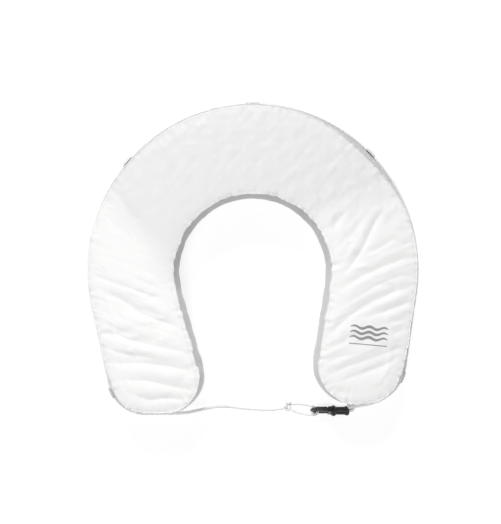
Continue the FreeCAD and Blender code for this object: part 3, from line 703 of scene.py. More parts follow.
def cover_base():
    """The whole cover as one closed mesh. Each face's material index is its place in REGIONS."""
    rim, normals, owners = walk(STRETCHES, BASE_STEP)
    count = len(rim)
    flat, triangles = panel_grid(rim, BASE_STEP)
    vertices = [(*(p + n * wall_out(z)), z) for z in HEIGHTS for p, n in zip(rim, normals)]
    faces = ring_quads(len(HEIGHTS), count)
    regions = [REGIONS.index(gusset_region(owner, z)) for z in HEIGHTS[:-1] for owner in owners]
    top_rim = (len(HEIGHTS) - 1) * count
    for panel, z, base in (("front_panel", HEIGHTS[-1], top_rim), ("back_panel", HEIGHTS[0], 0)):
        start = len(vertices) - count
        vertices += [(*p, z) for p in flat[count:]]
        faces += panel_faces(flat, triangles, count, base, start, panel == "front_panel")
        regions += [REGIONS.index(panel)] * len(triangles)
    piece = mesh_object("cover_base", vertices, faces)
    for _ in REGIONS:
        piece.data.materials.append(FABRIC)
    piece.data.polygons.foreach_set("material_index", regions)
    crease = piece.data.attributes.new("crease_edge", "FLOAT", "EDGE")
    seam = set(range(count)) | set(range(top_rim, top_rim + count))
    ends = [tuple(edge.vertices) for edge in piece.data.edges]
    at_seam = [float({a, b} <= seam and abs(a - b) in (1, count - 1)) for a, b in ends]
    crease.data.foreach_set("value", at_seam)
    return piece, seam


FABRIC_STRENGTH = {
    "quality": 7,
    "mass": 0.35,
    "air_damping": 3.0,
    "tension_stiffness": 40,
    "compression_stiffness": 40,
    "shear_stiffness": 12,
    "bending_stiffness": 1.2,
    "tension_damping": 20,
    "compression_damping": 20,
    "shear_damping": 20,
    "bending_damping": 2,
    "vertex_group_mass": "pin",
    "pin_stiffness": 50,
    "vertex_group_shrink": "taut",
    "shrink_min": -0.045,
    "shrink_max": 0.004,
    "use_pressure": True,
    "uniform_pressure_force": 1.1,
}


def let_fabric_settle(piece, seam, frames=26):
    """Cloth simulation: slack fabric on the legs and taut fabric on the crown, filled from inside."""
    rest = read_places(piece.data)
    pin = piece.vertex_groups.new(name="pin")
    pin.add(sorted(seam), 1.0, "REPLACE")
    taut = piece.vertex_groups.new(name="taut")
    tightness = smooth_step(rest[:, 1], -0.02, 0.11)
    for index, weight in enumerate(tightness):
        taut.add([index], float(weight), "REPLACE")
    cloth = piece.modifiers.new("cloth", "CLOTH")
    for key, value in FABRIC_STRENGTH.items():
        setattr(cloth.settings, key, value)
    cloth.settings.effector_weights.gravity = 0
    cloth.collision_settings.use_collision = False
    cloth.collision_settings.use_self_collision = False
    cloth.point_cache.frame_start = 1
    cloth.point_cache.frame_end = frames
    for number in range(1, frames + 1):
        scene.frame_set(number)
    settled = piece.evaluated_get(bpy.context.evaluated_depsgraph_get())
    moved = read_places(settled.data) - rest
    scene.frame_set(1)
    piece.modifiers.remove(cloth)
    return moved


def limit(moved, normals, outward, inward):
    """Keeps a settled move along the normals within what the foam and the seams allow."""
    along = (moved * normals).sum(axis=1)
    along = np.where(along > 0, outward * np.tanh(along / outward), inward * np.tanh(along / inward))
    return normals * along[:, None]


# ---------------------------------------------------------------- cover: folds and puckers
# Each fold is a height, a width and the points of its crease on the front panel.
LEFT_FOLDS = [
    (0.0013, 0.012, [(-0.262, 0.140), (-0.235, 0.100), (-0.205, 0.060)]),
    (0.0009, 0.010, [(-0.280, 0.092), (-0.250, 0.060), (-0.218, 0.033)]),
    (0.0018, 0.0138, [(-0.29, -0.033), (-0.266, -0.038), (-0.243, -0.05), (-0.209, -0.058),
      (-0.168, -0.077)]),
    (0.0026, 0.0147, [(-0.239, -0.073), (-0.199, -0.101), (-0.165, -0.113), (-0.131, -0.124)]),
    (0.0014, 0.0101, [(-0.277, -0.058), (-0.246, -0.07), (-0.216, -0.087)]),
    (0.0030, 0.0138, [(-0.278, -0.135), (-0.246, -0.136), (-0.226, -0.147), (-0.175, -0.158),
      (-0.11, -0.172)]),
    (0.0014, 0.0110, [(-0.268, -0.160), (-0.243, -0.170), (-0.209, -0.176), (-0.17, -0.181)]),
    (0.0038, 0.0156, [(-0.26, -0.19), (-0.199, -0.189), (-0.158, -0.194), (-0.105, -0.204)]),
    (0.0026, 0.0138, [(-0.232, -0.22), (-0.192, -0.22), (-0.158, -0.228), (-0.098, -0.24)]),
    (0.0020, 0.0101, [(-0.212, -0.247), (-0.185, -0.257), (-0.168, -0.252), (-0.141, -0.254),
      (-0.11, -0.257)]),
    (0.0012, 0.0083, [(-0.199, -0.016), (-0.175, -0.036), (-0.148, -0.057)]),
    (0.0010, 0.0083, [(-0.216, -0.033), (-0.188, -0.046), (-0.168, -0.053)]),
    (0.0010, 0.0074, [(-0.165, -0.276), (-0.144, -0.272), (-0.125, -0.267)]),
]
RIGHT_FOLDS = [
    (0.0012, 0.0074, [(0.168, 0.087), (0.143, 0.055)]),
    (0.0009, 0.0074, [(0.197, 0.069), (0.17, 0.031)]),
    (0.0025, 0.0082, [(0.236, 0.089), (0.22, 0.064), (0.202, 0.026), (0.182, -0.008), (0.164, -0.028)]),
    (0.0013, 0.0074, [(0.249, 0.031), (0.229, 0.019), (0.204, 0.005)]),
    (0.0010, 0.0074, [(0.292, 0.031), (0.269, 0.023)]),
    (0.0020, 0.0107, [(0.294, -0.001), (0.265, -0.003), (0.229, -0.017), (0.193, -0.035), (0.157, -0.057)]),
    (0.0019, 0.0107, [(0.294, -0.028), (0.265, -0.032), (0.229, -0.046), (0.197, -0.064), (0.161, -0.086)]),
    (0.0029, 0.0115, [(0.294, -0.05), (0.265, -0.057), (0.229, -0.071), (0.193, -0.089),
      (0.161, -0.116), (0.137, -0.138)]),
    (0.0025, 0.0098, [(0.29, -0.077), (0.265, -0.086), (0.233, -0.098), (0.206, -0.104)]),
    (0.0020, 0.0090, [(0.287, -0.104), (0.26, -0.113), (0.242, -0.118)]),
    (0.0017, 0.0082, [(0.283, -0.125), (0.251, -0.136)]),
    (0.0014, 0.0082, [(0.134, -0.165), (0.161, -0.152), (0.177, -0.142)]),
    (0.0017, 0.0090, [(0.125, -0.192), (0.152, -0.179), (0.184, -0.172)]),
    (0.0026, 0.0107, [(0.128, -0.214), (0.161, -0.199), (0.206, -0.183), (0.242, -0.17), (0.277, -0.155)]),
    (0.0023, 0.0115, [(0.152, -0.223), (0.206, -0.205), (0.242, -0.19), (0.273, -0.175)]),
    (0.0013, 0.0115, [(0.125, -0.232), (0.152, -0.242), (0.179, -0.244)]),
]
SHADE_SIDE = np.array([0.45, -0.89])  # the steep side of a fold faces this way, away from the crown


def fold_height(places, points, height, width, rounding):
    """A crease with a soft ridge behind it. The cloth falls slowly into the crease and leaves it quickly."""
    line = evened(resample(np.array([(*p, 0.0) for p in points]), 0.004)[:, :2], 6)
    low, high = line.min(axis=0) - 6 * width, line.max(axis=0) + 6 * width
    near = np.nonzero(((places > low) & (places < high)).all(axis=1))[0]
    gaps = places[near][:, None, :] - line[None, :, :]
    lengths = np.linalg.norm(gaps, axis=2)
    closest = lengths.argmin(axis=1)
    tangents = unit_rows(np.gradient(line, axis=0))
    across = np.column_stack([-tangents[:, 1], tangents[:, 0]])
    across *= np.sign((across * SHADE_SIDE).sum(axis=1))[:, None]
    gap = gaps[np.arange(len(near)), closest]
    distance = (gap * across[closest]).sum(axis=1)
    beyond = np.sqrt(np.clip((gap**2).sum(axis=1) - distance**2, 0, None))
    share = closest / (len(line) - 1)
    taper = np.sin(np.clip(share, 0.02, 0.98) * math.pi) ** 0.45 * np.exp(-((beyond / width) ** 2))
    ridge = np.exp(-(((distance + 1.5 * width) / width) ** 2))
    gone = np.sqrt(distance**2 + rounding**2) - rounding
    crease = np.exp(-gone / np.where(distance < 0, 0.80 * width, 0.42 * width))
    rise = np.zeros(len(places))
    rise[near] = height * taper * (0.45 * ridge - crease)
    return rise


def waves(along, seed, lengths, period):
    """A smooth irregular wave along a closed seam, about -1 to 1."""
    source = np.random.default_rng(seed)
    total = np.zeros(len(along))
    for length in lengths:
        turns = max(1, round(period / length))
        phase = source.uniform(0, 2 * math.pi)
        total += np.sin(2 * math.pi * turns * along / period + phase) * source.uniform(0.6, 1)
    return total / len(lengths)


def patches(places, seed, count, shortest, longest):
    """Soft random dents across a sheet, from waves that run in all directions."""
    source = np.random.default_rng(seed)
    total = np.zeros(len(places))
    for _ in range(count):
        turn = source.uniform(0, 2 * math.pi)
        length = source.uniform(shortest, longest)
        way = np.array([math.cos(turn), math.sin(turn)])
        phase = source.uniform(0, 2 * math.pi)
        total += np.sin(places[:, :2] @ way * 2 * math.pi / length + phase) * length / longest
    return total / math.sqrt(count / 2)


def streaked(places, slope, seed):
    """Fine creases that all run along one slope and fade in and out."""
    turn = math.radians(slope)
    across = places[:, :2] @ np.array([-math.sin(turn), math.cos(turn)])
    bent = across + 0.0012 * patches(places, seed, 12, 0.05, 0.12)
    total = np.zeros(len(places))
    for number, length in enumerate((0.0068, 0.0094, 0.0131, 0.0187)):
        strength = np.clip(0.5 + 0.6 * patches(places, seed + 1 + number, 10, 0.03, 0.09), 0, 1.4)
        total += strength * np.sin(2 * math.pi * bent / length + number) * (length / 0.0094)
    return total


def nearest_on_rim(places, rim):
    """Each place's distance to the rim, and the index of the nearest rim point."""
    distance = np.empty(len(places))
    index = np.empty(len(places), int)
    for start in range(0, len(places), 4000):
        block = places[start : start + 4000]
        gaps = ((block[:, None, :] - rim[None, :, :]) ** 2).sum(axis=2)
        index[start : start + 4000] = gaps.argmin(axis=1)
        distance[start : start + 4000] = np.sqrt(gaps.min(axis=1))
    return distance, index


ROLLED_SEAMS = [  # where the front seam has rolled inward: place, spread and depth
    ((0.210, 0.190), 0.110, 0.0105),
    ((-0.247, -0.243), 0.045, 0.0050),
    ((0.262, -0.215), 0.040, 0.0050),
    ((-0.215, 0.185), 0.050, 0.0030),
]


class Cover:
    """The cover's points, with where each one lies along the seams and which part of the skin it is on."""

    def __init__(self, mesh):
        self.places = read_places(mesh)
        self.x, self.y, self.z = self.places.T
        rim, rim_normals, _ = walk(STRETCHES, 0.003)
        along = arc_lengths(rim, closed=True)
        self.distance, nearest = nearest_on_rim(self.places[:, :2], rim)
        self.period = along[-1]
        self.along = along[nearest]
        self.outward = rim_normals[nearest]
        level = np.abs(read_normals(mesh)[:, 2]) > 0.6
        self.upper = self.z > THICKNESS / 2
        self.on_front = level & self.upper
        self.on_back = level & (self.z < THICKNESS / 2)
        self.side = ~(self.on_front | self.on_back)
        self.legs = 1 - smooth_step(self.y, -0.04, 0.12)
        self.short = self.wave(3, 0.021, 0.017, 0.013, 0.028)
        self.long = self.wave(5, 0.085, 0.060, 0.047)

    def wave(self, seed, *lengths, shift=0.0):
        return waves(self.along + shift, seed, lengths, self.period)


def fold_lift(cover):
    """The legs' folds, which fade towards the seam. The left leg's creases are sharper."""
    lift = np.zeros(len(cover.places))
    for height, width, points in LEFT_FOLDS + RIGHT_FOLDS:
        rounding = (0.10 if points[0][0] < 0 else 0.24) * width
        lift += fold_height(cover.places[:, :2], points, height, width, rounding)
    return lift * (0.35 + 0.65 * smooth_step(cover.distance, 0.0, 0.022))


def streak_lift(cover):
    """Fine slanting creases between the folds of each leg."""
    on_left = (1 - smooth_step(cover.x, -0.12, -0.06)) * band(cover.y, -0.190, -0.120, -0.02, 0.03)
    on_right = smooth_step(cover.x, 0.08, 0.12) * band(cover.y, -0.25, -0.20, 0.02, 0.06)
    left = 0.00009 * streaked(cover.places, -20, 43) * on_left
    return left + 0.00006 * streaked(cover.places, 24, 47) * on_right


def seam_pucker(cover):
    """The small gathers along both seams."""
    tuck = cover.wave(9, 0.0085, 0.0110, 0.0067) * np.exp(-cover.distance / 0.006)
    return (0.0007 + 0.0006 * cover.legs) * cover.short + 0.0004 * cover.long + 0.00035 * tuck


def panel_lift(cover, pucker):
    """How far both panels stand out from flat."""
    padded = 0.0030 * (1 - np.exp(-cover.distance / 0.016)) - 0.0016
    mottle = 0.00040 * patches(cover.places, 41, 26, 0.012, 0.040)
    gathers = pucker * np.exp(-cover.distance / 0.011)
    ripple = 0.0013 * cover.wave(13, 0.040, 0.031, 0.055, shift=0.35 * cover.distance)
    ripple *= smooth_step(cover.distance, 0.0, 0.02) * cover.legs
    front = padded + fold_lift(cover) + streak_lift(cover) + mottle * (1 - 0.5 * cover.legs) + gathers
    back = 0.5 * padded + 0.0006 + mottle + 1.3 * gathers + ripple
    return np.where(cover.on_front, front, 0) - np.where(cover.on_back, back, 0)


def wall_move(cover):
    """How far the hems and the wall stand out. The rope holds the wall in, and the zip keeps it flat."""
    z = cover.z
    wave_top = 0.0008 * cover.short + 0.0007 * cover.long * (0.4 + cover.legs)
    wave_low = 0.0013 * cover.wave(21, 0.033, 0.024, 0.019) + 0.0009 * cover.wave(23, 0.09, 0.07)
    move = np.where(cover.upper, wave_top, wave_low) * np.exp(-np.minimum(z, THICKNESS - z) / 0.010)
    slant = 0.55 * (z - THICKNESS / 2) * np.sin(2 * math.pi * 3 * cover.along / cover.period)
    middle = np.sin(math.pi * np.clip(z / THICKNESS, 0, 1))
    folds = 0.0012 * cover.wave(31, 0.052, 0.037, 0.071, shift=slant) * middle * (0.35 + 0.9 * cover.legs)
    from_crown = cover.y - CROWN_CENTRE.y
    turn = np.degrees(np.arctan2(from_crown, cover.x))
    at_zip = band(turn, ZIP_START - 6, ZIP_START + 1, ZIP_END - 1, ZIP_END + 6)
    at_zip *= (np.hypot(cover.x, from_crown) > 0.25) * (1 - smooth_step(z, 0.040, 0.052))
    outside = np.hypot(cover.x, cover.y - ARCH_CENTRE.y) > 0.2
    at_rope = np.exp(-(((z - ROPE_Z) / 0.009) ** 2)) * outside * cover.side
    move += folds * (1 - at_zip) * (1 - 0.8 * at_rope) * cover.side
    move *= np.where(cover.side, 1.0, np.exp(-cover.distance / 0.009))
    return np.where(at_rope > 0.3, np.minimum(move, 0.0), move) * (1 - 0.9 * at_zip)


def seam_roll(cover):
    """How far the front seam rolls in or stands out as a lip, and how far the inner wall is tucked in."""
    below = THICKNESS - cover.z
    rolled = np.zeros(len(cover.places))
    for (x, y), spread, depth in ROLLED_SEAMS:
        rolled += depth * np.exp(-((cover.x - x) ** 2 + (cover.y - y) ** 2) / spread**2)
    rolled *= np.where(cover.on_front, np.exp(-cover.distance / 0.030), np.exp(-below / 0.011) * cover.side)
    centred = np.column_stack([cover.x, cover.y - ARCH_CENTRE.y])
    away = np.maximum(np.linalg.norm(centred, axis=1), 0.01)
    inner = smooth_step(-(cover.outward * centred).sum(axis=1) / away, 0.2, 0.7)
    lip = (0.0012 + 0.0014 * cover.long + 0.0011 * cover.short) * inner
    lip *= np.where(cover.on_front, np.exp(-cover.distance / 0.016), np.exp(-below / 0.007) * cover.side)
    ragged = cover.wave(61, 0.014, 0.019, 0.027, 0.036) * (1 - 0.5 * cover.legs)
    lower = (1 - smooth_step(cover.z, 0.0, 0.065)) * cover.side
    tucked = (0.0034 + 0.0026 * ragged) * inner
    tucked *= np.where(cover.on_back, np.exp(-cover.distance / 0.020), lower)
    return lip - rolled - tucked


def shape_cover(mesh):
    """Adds the padded roundness, the legs' folds and the puckers along the seams."""
    cover = Cover(mesh)
    pucker = seam_pucker(cover)
    moved = cover.places.copy()
    moved[:, :2] += cover.outward * (wall_move(cover) + seam_roll(cover))[:, None]
    moved[:, 2] += panel_lift(cover, pucker)
    near_seam = np.exp(-np.minimum(cover.z, THICKNESS - cover.z) / 0.006) * cover.side
    moved[:, 2] += np.where(cover.upper, pucker - 0.0016, 0.0008 - 0.6 * pucker) * near_seam
    moved[:, 2] = np.maximum(moved[:, 2], 0.0002 + 0.0004 * (1 + cover.short))
    mesh.vertices.foreach_set("co", moved.ravel())
    mesh.update()


def cover_skin(quick):
    """The cover's surface: settled, smoothed to fine faces and folded."""
    base, seam = cover_base()
    if not quick:
        normals = read_normals(base.data)
        moved = let_fabric_settle(base, seam)
        moved = limit(moved, normals, 0.0008, 0.0007)
        rim, _, _ = walk(STRETCHES, 0.004)
        distance, _ = nearest_on_rim(read_places(base.data)[:, :2], rim)
        level = np.abs(normals[:, 2]) > 0.7
        moved *= np.where(level, smooth_step(distance, 0.008, 0.045), 0.6)[:, None]
        base.data.vertices.foreach_set("co", (read_places(base.data) + moved).ravel())
        base.data.update()
    fine = base.modifiers.new("fine", "SUBSURF")
    fine.levels = fine.render_levels = 2
    fine.boundary_smooth = "ALL"
    mesh = evaluated_mesh(base)
    bpy.data.objects.remove(base)
    shape_cover(mesh)
    return mesh


def region_piece(name, skin, region, thickness, material):
    """One region's faces as a thin fabric piece of its own."""
    chosen = np.nonzero(read_regions(skin) == REGIONS.index(region))[0]
    faces = [tuple(skin.polygons[int(i)].vertices) for i in chosen]
    used = sorted({v for face in faces for v in face})
    renumber = {v: i for i, v in enumerate(used)}
    faces = [tuple(renumber[v] for v in face) for face in faces]
    outer = read_places(skin)[used]
    inner = outer - read_normals(skin)[used] * thickness
    sides = {(a, b) for face in faces for a, b in zip(face, face[1:] + face[:1])}
    border = [(a, b) for a, b in sides if (b, a) not in sides]
    count = len(used)
    backs = [tuple(v + count for v in reversed(face)) for face in faces]
    rims = [(b, a, a + count, b + count) for a, b in sorted(border)]
    return mesh_object(name, np.vstack([outer, inner]), faces + backs + rims, material)


# ---------------------------------------------------------------- sewing
def joined(name, parts, material, smooth=True):
    """One mesh from many (places, faces) parts."""
    places, faces, count = [], [], 0
    for part_places, part_faces in parts:
        places.append(part_places)
        faces += [tuple(v + count for v in face) for face in part_faces]
        count += len(part_places)
    return mesh_object(name, np.vstack(places), faces, material, smooth)


def stitch(start, end, normal, radius):
    """One thread stitch that dips into the fabric at both ends."""
    rings, sides = 6, 6
    along = end - start
    across = np.cross(normal, along)
    across /= np.linalg.norm(across)
    places = []
    for t in np.arange(rings) / (rings - 1):
        middle = start + along * t + normal * radius * (1.5 * math.sin(math.pi * t) ** 0.7 - 0.85)
        for angle in 2 * math.pi * np.arange(sides) / sides:
            sideways = across * math.cos(angle) * radius * 1.15
            places.append(middle + sideways + normal * math.sin(angle) * radius)
    return np.array(places), ring_quads(rings, sides) + end_caps(rings, sides)


def stitch_row(line, normals, pitch, radius=0.00032):
    """Stitches along a line of points on the fabric."""
    along = arc_lengths(line)
    parts = []
    for i in range(int(along[-1] / pitch)):
        ends = [
            np.array([np.interp(t, along, line[:, k]) for k in range(3)])
            for t in (i * pitch, i * pitch + 0.72 * pitch)
        ]
        at = min(len(line) - 1, int(np.searchsorted(along, i * pitch)))
        parts.append(stitch(ends[0], ends[1], normals[at], radius))
    return parts


def tree_of(mesh):
    return BVHTree.FromPolygons([v.co for v in mesh.vertices], [p.vertices for p in mesh.polygons])


def drop_on(tree, places, way, far=0.03):
    """Where each place lands on the fabric when it moves along way, and the fabric's normal there."""
    landed, normals = [], []
    for place, step in zip(places, way):
        hit, normal, _, _ = tree.ray_cast(Vector(place - step * far), Vector(step))
        landed.append(np.array(hit) if hit is not None else np.array(place))
        normals.append(np.array(normal) if normal is not None else -np.array(step))
    return np.array(landed), np.array(normals)


def add_stitching(tree):
    """Topstitching beside both seams, on the panels and on the gusset."""
    on_panel, on_gusset, pitch = 0.0052, 0.0048, 0.0042
    rim, normals, _ = walk(STRETCHES, 0.0035)
    rim, normals = np.vstack([rim, rim[:1]]), np.vstack([normals, normals[:1]])
    inward = np.column_stack([-normals, np.zeros(len(rim))])
    for name, out, z, way in (
        ("front_topstitch", -on_panel, THICKNESS, [0.0, 0.0, -1.0]),
        ("back_topstitch", -on_panel, 0.0, [0.0, 0.0, 1.0]),
        ("gusset_topstitch_front", 0.004, THICKNESS - on_gusset, None),
        ("gusset_topstitch_back", 0.004, on_gusset, None),
    ):
        line = np.column_stack([rim + normals * out, np.full(len(rim), z)])
        landed, facing = drop_on(tree, line, np.tile(way, (len(rim), 1)) if way else inward)
        declare(joined(name, stitch_row(landed, facing, pitch), THREAD), "buoy", "cover_fabric")


def seam_loop(skin, panel):
    """The points round one panel's seam, in order."""
    touching = {}
    for polygon, region in zip(skin.polygons, read_regions(skin)):
        for v in polygon.vertices:
            touching.setdefault(v, set()).add(int(region))
    rim = [v for v, found in touching.items() if REGIONS.index(panel) in found and len(found) > 1]
    chosen = set(rim)
    links = {v: [] for v in rim}
    for a, b in (edge.vertices for edge in skin.edges):
        if a in chosen and b in chosen:
            links[a].append(b)
            links[b].append(a)
    loop, before = [rim[0]], None
    while len(loop) <= len(rim):
        following = [v for v in links[loop[-1]] if v != before]
        if not following or following[0] == loop[0]:
            break
        before = loop[-1]
        loop.append(following[0])
    return read_places(skin)[loop]


def add_seam_lips(skin):
    """The turned hem that stands a little proud along each seam."""
    step, sides = 0.0022, 10
    for name, panel in (("front_hem", "front_panel"), ("back_hem", "back_panel")):
        line = resample(seam_loop(skin, panel), step, closed=True)
        s = np.arange(len(line)) * step
        radius = 0.00085 + 0.00018 * waves(s, 41, (0.006, 0.009, 0.014), s[-1])
        points = tube_points(line, np.tile(radius[:, None], sides), closed=True)
        points[:, :, 2] = np.maximum(points[:, :, 2], 0.0)
        faces = ring_quads(len(line), sides, closed=True)
        declare(mesh_object(name, points.reshape(-1, 3), faces, FABRIC), "buoy", "cover_fabric")


# ---------------------------------------------------------------- cover pieces
COVER_PIECES = [  # piece, its region, the CAD node it stands for, its cloth
    ("front_cloth", "front_panel", "front_panel", FABRIC),
    ("back_cloth", "back_panel", "back_panel", FABRIC),
    # The gusset cloths carry painted shade: they are greyer than the panels.
    ("gusset_cloth_right", "outer_gusset_right", "outer_gusset_right", SHADED_OUTER_FABRIC),
    ("gusset_cloth_left", "outer_gusset_left", "outer_gusset_left", SHADED_OUTER_FABRIC),
    ("gusset_cloth_inner", "inner_gusset", "inner_gusset", SHADED_INNER_FABRIC),
    ("gusset_cloth_crown_front", "crown_gusset", "crown_gusset_front", SHADED_OUTER_FABRIC),
    ("gusset_cloth_crown_back", "crown_gusset_back", "crown_gusset_back", SHADED_OUTER_FABRIC),
]


def add_cover():
    """The fabric pieces with their hems and topstitching. Returns the surface that the mark is laid on."""
    skin = cover_skin(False)
    for name, region, node_name, cloth in COVER_PIECES:
        piece = region_piece(name, skin, region, 0.0009, cloth)
        declare(piece, "buoy", "cover_fabric", node_name)
    tree = tree_of(skin)
    add_seam_lips(skin)
    add_stitching(tree)
    bpy.data.meshes.remove(skin)
    return tree


def foam_levels(name):
    """A layer's outline at each height, as (z, how far out). Only the outermost edges are well rounded."""
    slack, large, small = 0.006, 0.006, 0.0012
    low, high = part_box(f"foam_layer_{name}")
    low_z, low_round = (low.z + slack, large) if name == "back" else (low.z, small)
    high_z, high_round = (high.z - slack, large) if name == "front" else (high.z, small)
    edge = ((0.0, -1.0), (0.35, -0.35), (1.0, 0.0))  # height and inset, as shares of the rounding
    lower = [(low_z + up * low_round, out * low_round) for up, out in edge]
    upper = [(high_z - up * high_round, out * high_round) for up, out in reversed(edge)]
    return lower + upper


def add_foam():
    """The foam layers inside, a little slack in the cover."""
    rim, normals, _ = walk(STRETCHES, 0.010)
    count = len(rim)
    flat, triangles = panel_grid(rim - normals * 0.014, 0.02)
    for name in ("back", "middle", "front"):
        levels = foam_levels(name)
        places = [(*p, z) for z, out in levels for p in rim + normals * (wall_out(z) - 0.007 + out)]
        faces = ring_quads(len(levels), count)
        for z, base, looks_up in ((levels[0][0], 0, False), (levels[-1][0], (len(levels) - 1) * count, True)):
            start = len(places) - count
            places += [(*p, z) for p in flat[count:]]
            faces += panel_faces(flat, triangles, count, base, start, looks_up)
        piece = mesh_object(f"foam_{name}", places, faces, FOAM)
        declare(piece, "buoy", "foam", f"foam_layer_{name}")


# ---------------------------------------------------------------- rope tabs
TABS = [  # node, turn, angle, width
    ("rope_tab_crown", CROWN, 90, 0.026),
    ("rope_tab_upper_left", CROWN, 139.5, 0.020),
    ("rope_tab_upper_right", CROWN, 44.5, 0.020),
    ("rope_tab_lower_left", LEFT_OUTER_TURN, 206, 0.020),
    ("rope_tab_lower_right", RIGHT_OUTER_TURN, 338, 0.020),
]


def tab_profile():
    """The strap's middle line as (out, z): up the gusset, over the rope and up the gusset again."""
    reach = TAB_REACH + WEBBING / 2
    lie = WEBBING / 2 + 0.0001
    centre = rope_out()
    points = []
    for t in np.linspace(0, 1, 12):
        z = ROPE_Z - reach - TAB_FOOT * (1 - t)
        points.append((wall_out(z) + lie, z))
    for t in np.linspace(0, 1, 5)[1:]:
        points.append((wall_out(ROPE_Z) + lie + (centre - wall_out(ROPE_Z) - lie) * t, ROPE_Z - reach))
    for angle in np.linspace(-90, 90, 17)[1:-1]:
        round_rope = direction(angle) * reach
        points.append((centre + round_rope.x, ROPE_Z + round_rope.y))
    mirrored = [(out, 2 * ROPE_Z - z) for out, z in points[:16]]
    return evened(np.array(points + mirrored[::-1]), 3)


def strap(name, turn, angle, width, profile, step):
    """A woven strap that follows the profile, across the outline at an angle of one of its turns."""
    outward = unit_rows(np.gradient(profile, axis=0))[:, ::-1] * (1, -1)
    length = np.arange(len(profile)) * step
    columns = round(width / 0.0003)
    across = np.linspace(-0.5, 0.5, columns + 1) * width
    sweep = np.degrees(across / (turn.radius + BULGE))
    edge = np.clip((0.5 * width - np.abs(across)) / 0.0006, 0, 1)
    half = WEBBING / 2 * np.sqrt(1 - (1 - edge) ** 2 * 0.9)
    ribs = 0.00014 * np.abs(np.sin(math.pi * across / 0.0017))
    picks = 0.00006 * np.sin(2 * math.pi * length / 0.0016)
    end = np.clip(np.minimum(length, length[-1] - length) / 0.0006, 0, 1)
    end = np.sqrt(1 - (1 - end) ** 2 * 0.9)
    places = []
    for side in (1, -1):
        for i in range(len(profile)):
            for k in range(columns + 1):
                thick = half[k] * end[i] - 0.0002 + ribs[k] + picks[i] * (-1) ** (k // 3)
                out, z = profile[i] + outward[i] * thick * side
                point = turn.point(angle + sweep[k], out)
                places.append((point.x, point.y, z))
    return mesh_object(name, places, sheet_faces(len(profile) - 1, columns), WEB)


def strap_stitches(turn, angle, width):
    """Two rows of stitches across each foot of a strap."""
    parts = []
    for foot in (-1, 1):
        for inset in (0.0022, 0.0072):
            z = ROPE_Z + foot * (TAB_REACH + inset + 0.0012)
            line, normals = [], []
            for k in np.linspace(-0.5, 0.5, 30) * (width - 0.003):
                turned = angle + math.degrees(k / (turn.radius + BULGE))
                point = turn.point(turned, wall_out(z) + WEBBING + 0.0002)
                line.append((point.x, point.y, z))
                normals.append((*turn.normal(turned), 0.0))
            parts += stitch_row(np.array(line), np.array(normals), 0.0026, 0.0003)
    return parts


def add_tabs():
    """Webbing straps sewn above and below the rope."""
    step = 0.0005
    middle = tab_profile()
    profile = resample(np.column_stack([middle, np.zeros(len(middle))]), step)[:, :2]
    for node_name, turn, angle, width in TABS:
        webbing = strap(node_name + "_webbing", turn, angle, width, profile, step)
        declare(webbing, "buoy", "webbing", node_name)
        threads = joined(node_name + "_stitches", strap_stitches(turn, angle, width), THREAD)
        declare(threads, "buoy", "webbing")


# ---------------------------------------------------------------- zip
def crown_strip(name, section, material, step=0.15):
    """A closed (out, z) section carried along the zip. Out is measured from the gusset's surface."""
    angles = np.arange(ZIP_START, ZIP_END + step / 2, step)
    count = len(section)
    places, faces = [], []
    for angle in angles:
        for out, z in section:
            point = CROWN.point(angle, wall_out(z) + out)
            places.append((point.x, point.y, z))
    for i in range(len(angles) - 1):
        for k in range(count):
            n = (k + 1) % count
            faces.append((i * count + k, (i + 1) * count + k, (i + 1) * count + n, i * count + n))
    faces.append(tuple(range(count)))
    faces.append(tuple((len(angles) - 1) * count + k for k in reversed(range(count))))
    return mesh_object(name, places, faces, material)


def add_zip():
    """Two woven tapes with a row of interlocked coil teeth between them."""
    for name, node_name, edge, away in (
        ("zip_tape_cloth_front", "zip_tape_front", ZIP_Z + 0.0012, 1),
        ("zip_tape_cloth_back", "zip_tape_back", ZIP_Z - 0.0012, -1),
    ):
        section = []
        for t in np.linspace(0, 1, 24):
            ribs = 0.00012 * abs(math.sin(t * math.pi * 7))
            bead = 0.00035 * math.exp(-(((t - 0.12) / 0.07) ** 2))
            section.append((-0.0005 + ribs + bead, edge + away * t * 0.0074))
        section += [(-0.0013, section[-1][1]), (-0.0013, section[0][1])]
        if away < 0:
            section.reverse()
        declare(crown_strip(name, section, TAPE), "buoy", "zip_tape", node_name)
    teeth = []
    pitch = math.degrees(0.00085 / CROWN_RADIUS)
    for number, angle in enumerate(np.arange(ZIP_START + 0.4, ZIP_END - 0.4, pitch)):
        side = 1 if number % 2 else -1
        out = CROWN.normal(angle)
        normal = np.array([out.x, out.y, 0.0])
        base = CROWN.point(angle, wall_out(ZIP_Z) + 0.00045)
        start = np.array([base.x, base.y, ZIP_Z + side * 0.0017])
        end = np.array([base.x, base.y, ZIP_Z - side * 0.0006])
        teeth.append(stitch(start, end, normal, 0.00042))
    declare(joined("zip_chain", teeth, ZIP_PLASTIC), "buoy", "zip_plastic", "zip_coil")


# ---------------------------------------------------------------- moulded pieces
def softened(node_name, body, material, slot, voxel=0.0003, rounds=8):
    """A moulded piece with rounded edges, in the CAD node's place."""
    piece = bpy.data.objects.new(node_name + "_moulded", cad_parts[node_name].data.copy())
    scene.collection.objects.link(piece)
    piece.data.materials.clear()
    piece.data.materials.append(material)
    remesh = piece.modifiers.new("remesh", "REMESH")
    remesh.mode = "VOXEL"
    remesh.voxel_size = voxel
    smooth = piece.modifiers.new("smooth", "SMOOTH")
    smooth.factor = 0.5
    smooth.iterations = rounds
    mesh = evaluated_mesh(piece)
    piece.modifiers.clear()
    piece.data = mesh
    mesh.materials.clear()
    mesh.materials.append(material)
    mesh.shade_smooth()
    declare(piece, body, slot, node_name)


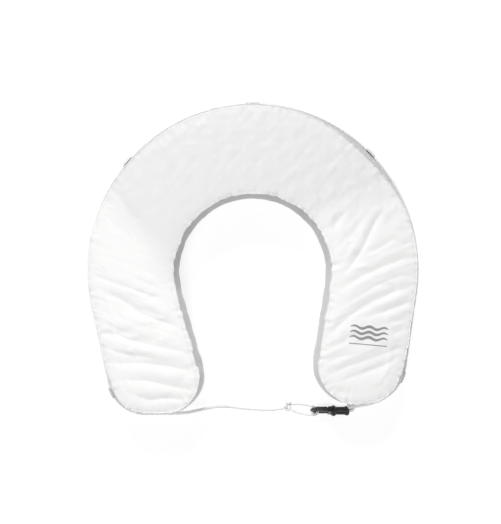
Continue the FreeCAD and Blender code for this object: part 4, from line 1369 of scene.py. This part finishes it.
def add_hardware():
    softened("hook_body", "snap_hook", BLACK, "black_plastic")
    softened("hook_gate", "gate", BLACK, "black_plastic", 0.00025, 6)
    softened("swivel_barrel", "buoy", BLACK, "black_plastic", 0.0003, 8)
    softened("zip_slider", "slider", ZIP_PLASTIC, "zip_plastic", 0.00022, 6)
    softened("zip_pull", "pull", ZIP_PLASTIC, "zip_plastic", 0.0002, 6)
    softened("zip_stops", "buoy", ZIP_PLASTIC, "zip_plastic", 0.00018, 4)
    for node_name in ("gate_pin", "gate_spring", "swivel_pin"):
        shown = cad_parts[node_name]
        shown.data.materials.clear()
        shown.data.materials.append(STEEL)


# ---------------------------------------------------------------- printed mark
MARK_CENTRE = (0.2085, -0.1395)
MARK_WIDTH = 0.068
MARK_TILT = -5.0


def ribbon(tree, height, wave, thickness):
    """A printed band across the mark, laid on the fabric."""
    columns, rows = 110, 5
    turn = np.array(Matrix.Rotation(math.radians(MARK_TILT), 2))
    places = []
    for k in range(rows + 1):
        for i in range(columns + 1):
            t = i / columns
            x = (t - 0.5) * MARK_WIDTH
            taper = math.sin(math.pi * min(max(t, 0.015), 0.985)) ** 0.35 if wave else 1.0
            y = height + wave * math.sin(t * 2 * math.pi * 2.5) + (k / rows - 0.5) * thickness * taper
            flat = turn @ np.array([x, y])
            places.append((MARK_CENTRE[0] + flat[0], MARK_CENTRE[1] + flat[1], THICKNESS + 0.02))
    places = np.array(places)
    landed, normals = drop_on(tree, places, np.tile([0.0, 0.0, -1.0], (len(places), 1)))
    return np.vstack([landed + normals * 0.00016, landed - normals * 0.00012]), sheet_faces(rows, columns)


def add_mark(tree):
    """Three waves over a thin rule."""
    bands = [ribbon(tree, height, 0.0022, 0.0052) for height in (0.0145, 0.0050, -0.0045)]
    bands.append(ribbon(tree, -0.0160, 0.0, 0.0017))
    declare(joined("printed_waves", bands, MARK_INK), "buoy", "cover_fabric")


# ---------------------------------------------------------------- the object
add_cords()
add_grab_line()
fabric_tree = add_cover()
add_foam()
add_tabs()
add_zip()
add_hardware()
add_mark(fabric_tree)
